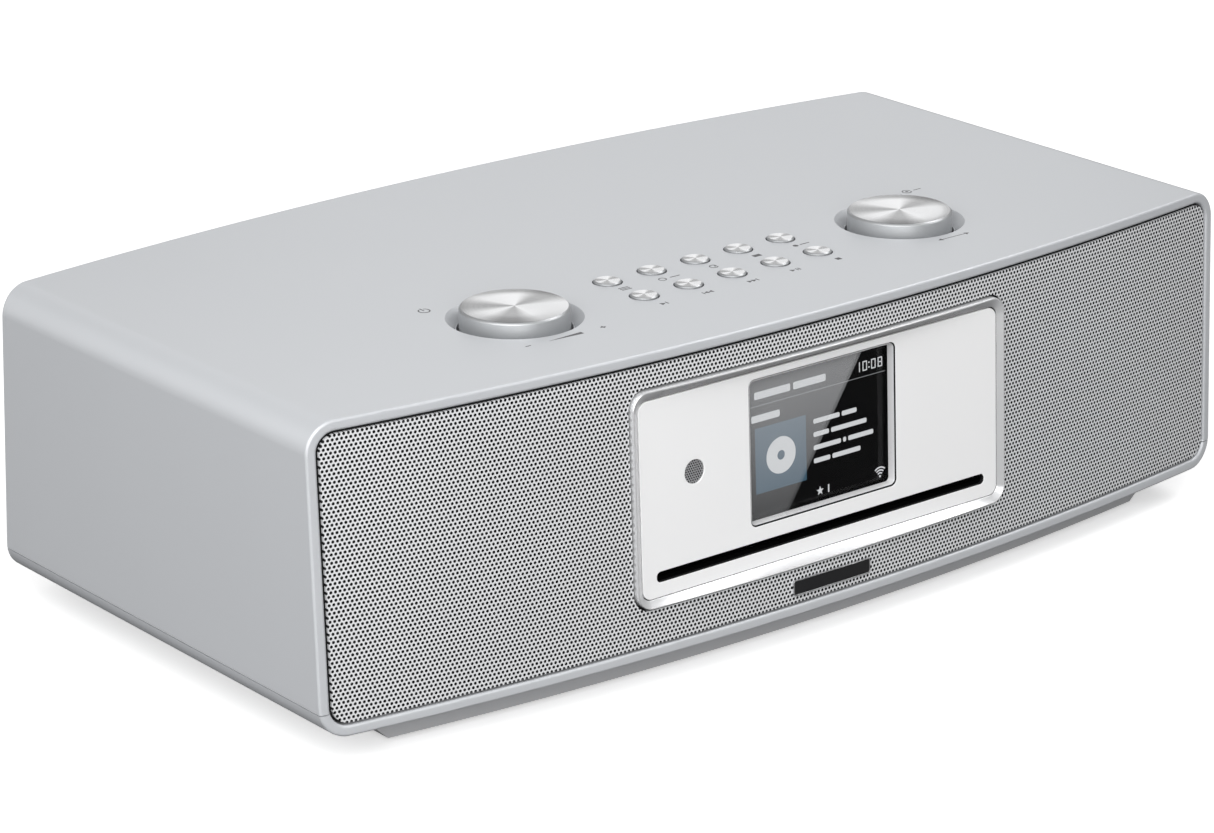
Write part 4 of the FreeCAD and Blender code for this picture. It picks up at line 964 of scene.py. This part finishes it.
def front_button_legends(pitch, y):
    """Under the front row: triangles with strokes for playing and skipping, and a block."""
    last = 2 * pitch
    marks = [triangle(-last - 0.3, y, 1.9, 1), upright(-last + 0.9, -last + 1.3, y)]
    for x, way in ((-pitch, -1), (0.0, 1)):
        marks += [triangle(x - 0.9, y, 1.8, way), triangle(x + 0.8, y, 1.8, way),
                  upright(x + way * 2.0 - 0.18, x + way * 2.0 + 0.18, y)]
    return marks + [triangle(pitch - 1.0, y, 1.8, 1), upright(pitch + 0.4, pitch + 0.8, y),
                    upright(pitch + 1.3, pitch + 1.7, y), block(last - 0.7, last + 1.1, y)]


def legends():
    """Symbols printed on the top: none of them is a letter."""
    knob_x, knob_y = (value / MM for value in knob_centre("volume"))
    pitch = BUTTON_PITCH / MM
    marks = volume_legends(knob_x, knob_y) + select_legends(-knob_x, knob_y)
    marks += rear_button_legends(pitch, button_row("rear") - 8.6)
    marks += front_button_legends(pitch, button_row("front") - 9.4)
    for index, outline in enumerate(marks):
        mark_piece("legend_%02d" % (index + 1), [outline], "legend_ink", on_top)


def on_top(x, y, back):
    """Places a flat mark on the top of the case."""
    return Vector((x, y, TOP + 0.035 * MM - back))


def badge():
    """A plain dark bar with a bright edge, on the grille's lower border.  It carries no lettering."""
    low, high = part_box("badge_plate")
    rim, proud = 0.35 * MM, 0.8 * MM

    def on_face(x, z, back):
        return Vector((x, FACE.y(x, z, back - proud), z))

    outer = rounded_outline(high.x, low.z, high.z, 0.8 * MM, 1.5 * MM)
    inner = rounded_outline(high.x - rim, low.z + rim, high.z - rim, 0.5 * MM, 1.5 * MM)
    flat_piece("badge_bar", [inner], 0.7 * MM, 0.08 * MM, "badge_dark",
               lambda x, z, back: on_face(x, z, back + 0.12 * MM), ["badge_plate"])
    flat_piece("badge_rim", [outer], 0.8 * MM, 0.08 * MM, "badge_edge", on_face,
               ["badge_plate"], holes=[inner])


# ---- knobs and buttons --------------------------------------------------------
def box_centre(node):
    low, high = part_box(node)
    return (low.x + high.x) / 2, (low.y + high.y) / 2


def knob_centre(name):
    return box_centre(name + "_knob")


def button_row(row):
    """The row's y in millimetres."""
    return box_centre("button_%s_1" % row)[1] / MM


BUTTON_PITCH = box_centre("button_rear_2")[0] - box_centre("button_rear_1")[0]


def knob(name):
    """A knob with a bevelled rim, a nearly flat top that shines, and a recess under its skirt."""
    low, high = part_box(name + "_knob")
    radius = (high.x - low.x) / 2
    top, bottom, bore = high.z, low.z, 3.1 * MM
    skirt, under = radius - 2 * MM, bottom + 1.0 * MM
    profile = [(bore, under), (skirt, under), (skirt, bottom),
               (radius - 0.25 * MM, bottom), (radius, bottom + 0.25 * MM), (radius, top - 0.75 * MM),
               (radius - 0.08 * MM, top - 0.6 * MM), (radius - 0.62 * MM, top - 0.06 * MM),
               (radius - 0.75 * MM, top), (radius * 0.5, top - 0.04 * MM), (0.0, top - 0.05 * MM)]
    lathe(name + "_knob_turned", knob_centre(name), profile, name + "_knob",
          ["knob_aluminium", "knob_side"], [name + "_knob"], steps=160, bright_from=7)


def button(name):
    """A button with a bevelled rim, a flange under the case's top, and a stem."""
    low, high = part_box(name)
    top, radius, stem = high.z, 4.3 * MM, 1.6 * MM
    flange, flange_low = radius + 1.2 * MM, top - 5.1 * MM
    profile = [(0.0, low.z), (stem, low.z), (stem, flange_low), (flange, flange_low),
               (flange, top - 3.3 * MM), (radius, top - 3.2 * MM), (radius, top - 0.42 * MM),
               (radius - 0.1 * MM, top - 0.28 * MM), (radius - 0.45 * MM, top), (0.0, top + 0.03 * MM)]
    lathe(name + "_turned", box_centre(name), profile, name,
          ["button_aluminium", "knob_side"], [name], steps=72, bright_from=8)


# ---- studio -------------------------------------------------------------------
def soft_box(heading, height, size, power, distance=1.5):
    """A square light at a heading and height in degrees, facing the set, that the camera can't see."""
    turn, rise = math.radians(heading), math.radians(height)
    away = Vector((math.cos(turn) * math.cos(rise), math.sin(turn) * math.cos(rise), math.sin(rise)))
    light = bpy.data.lights.new("soft_box", "AREA")
    light.size, light.energy = size, power
    lamp = new_object("soft_box", light)
    lamp.location = Vector((0, 0, TOP / 2)) + away * distance
    lamp.rotation_euler = (-away).to_track_quat("-Z", "Y").to_euler()
    lamp.visible_camera = False


def ray_switch(tree, for_camera, for_others):
    """Mixes two shaders so that the camera sees the first and every other ray meets the second."""
    path = tree.nodes.new("ShaderNodeLightPath")
    mix = tree.nodes.new("ShaderNodeMixShader")
    tree.links.new(path.outputs["Is Camera Ray"], mix.inputs[0])
    tree.links.new(for_others, mix.inputs[1])
    tree.links.new(for_camera, mix.inputs[2])
    return mix.outputs[0]


def studio_world():
    """White to the camera, and an even grey light to everything else."""
    world = bpy.data.worlds.new("studio")
    world.use_nodes = True
    tree = world.node_tree
    tree.nodes.clear()
    around, seen = tree.nodes.new("ShaderNodeBackground"), tree.nodes.new("ShaderNodeBackground")
    around.inputs["Color"].default_value = (0.99, 0.995, 1.0, 1.0)
    around.inputs["Strength"].default_value = AMBIENT
    output = tree.nodes.new("ShaderNodeOutputWorld")
    tree.links.new(ray_switch(tree, seen.outputs[0], around.outputs[0]), output.inputs["Surface"])
    seen.inputs["Color"].default_value = (1.0, 1.0, 1.0, 1.0)
    bpy.context.scene.world = world


def floor_material():
    """Near white to the camera, and greyer to light that bounces off it onto the set."""
    n = Nodes("floor_pale")
    seen, bounced = n.add("ShaderNodeBsdfDiffuse"), n.add("ShaderNodeBsdfDiffuse")
    n.link(n.mix(n.noise(40.0), (0.90, 0.90, 0.90), (0.93, 0.93, 0.93)), seen.inputs["Color"])
    bounced.inputs["Color"].default_value = (0.13, 0.13, 0.132, 1.0)
    lift = n.add("ShaderNodeEmission")
    lift.inputs["Strength"].default_value = 0.45
    total = n.add("ShaderNodeAddShader")
    n.link(seen.outputs[0], total.inputs[0])
    n.link(lift.outputs[0], total.inputs[1])
    n.link(ray_switch(n.tree, total.outputs[0], bounced.outputs[0]), n.output.inputs["Surface"])
    return n.material


# heading and height in degrees, size in metres, power in watts
SOFT_BOXES = ((45, 14, 0.9, 0.8), (60, 30, 1.2, 2.0), (150, 15, 1.4, 2.2), (180, 15, 1.2, 4.4),
              (210, 12, 0.9, 2.3), (225, 14, 0.9, 3.6), (240, 8, 0.6, 2.3), (255, 12, 0.6, 3.0),
              (200, 40, 1.0, 7.3), (240, 40, 1.0, 7.6), (290, 20, 0.9, 1.4), (355, 50, 0.7, 2.4),
              (335, 47, 0.5, 3.0))
AMBIENT = 0.25


def studio():
    """The white surroundings, the lights and the floor."""
    studio_world()
    for settings in SOFT_BOXES:
        soft_box(*settings)
    bpy.ops.mesh.primitive_plane_add(size=6.0, location=(0, 0, 0))
    floor = bpy.context.object
    floor.name = "floor"
    floor.data.materials.append(floor_material())
    bpy.context.scene.view_settings.view_transform = "Standard"


CAMERA_ANGLES = (-38.922, 19.295, -0.193)       # azimuth, elevation and roll in degrees
CAMERA_PLACE = Vector((-0.8026, -0.9917, 0.4998))
SENSOR_WIDTH, LENS_LENGTH = 36.0, 125.8
LENS_SHIFT = (-0.01344, -0.02236)


def camera():
    """A camera that stands and turns as the photo's does."""
    azimuth, elevation, roll = (math.radians(angle) for angle in CAMERA_ANGLES)
    back = Vector((math.sin(azimuth) * math.cos(elevation), -math.cos(azimuth) * math.cos(elevation),
                   math.sin(elevation)))
    right = Vector((0, 0, 1)).cross(back).normalized()
    up = back.cross(right)
    tilted_right = right * math.cos(roll) + up * math.sin(roll)
    tilted_up = up * math.cos(roll) - right * math.sin(roll)
    data = bpy.data.cameras.new("camera")
    data.sensor_width, data.lens = SENSOR_WIDTH, LENS_LENGTH
    data.shift_x, data.shift_y = LENS_SHIFT
    data.clip_start, data.clip_end = 0.05, 20.0
    shot = new_object("camera", data)
    axes = Matrix((tilted_right, tilted_up, back)).transposed()
    shot.matrix_world = Matrix.Translation(CAMERA_PLACE) @ axes.to_4x4()
    bpy.context.scene.camera = shot


make_materials()
paint_cad_nodes()
front_grille()
display_frame()
display_panel()
window_wall()
receiver_eye()
screen()
screen_marks()
badge()
legends()
for knob_name in ("volume", "select"):
    knob(knob_name)
for node_name in frame["nodes"]:
    if node_name.startswith("button_"):
        button(node_name)
studio()
camera()
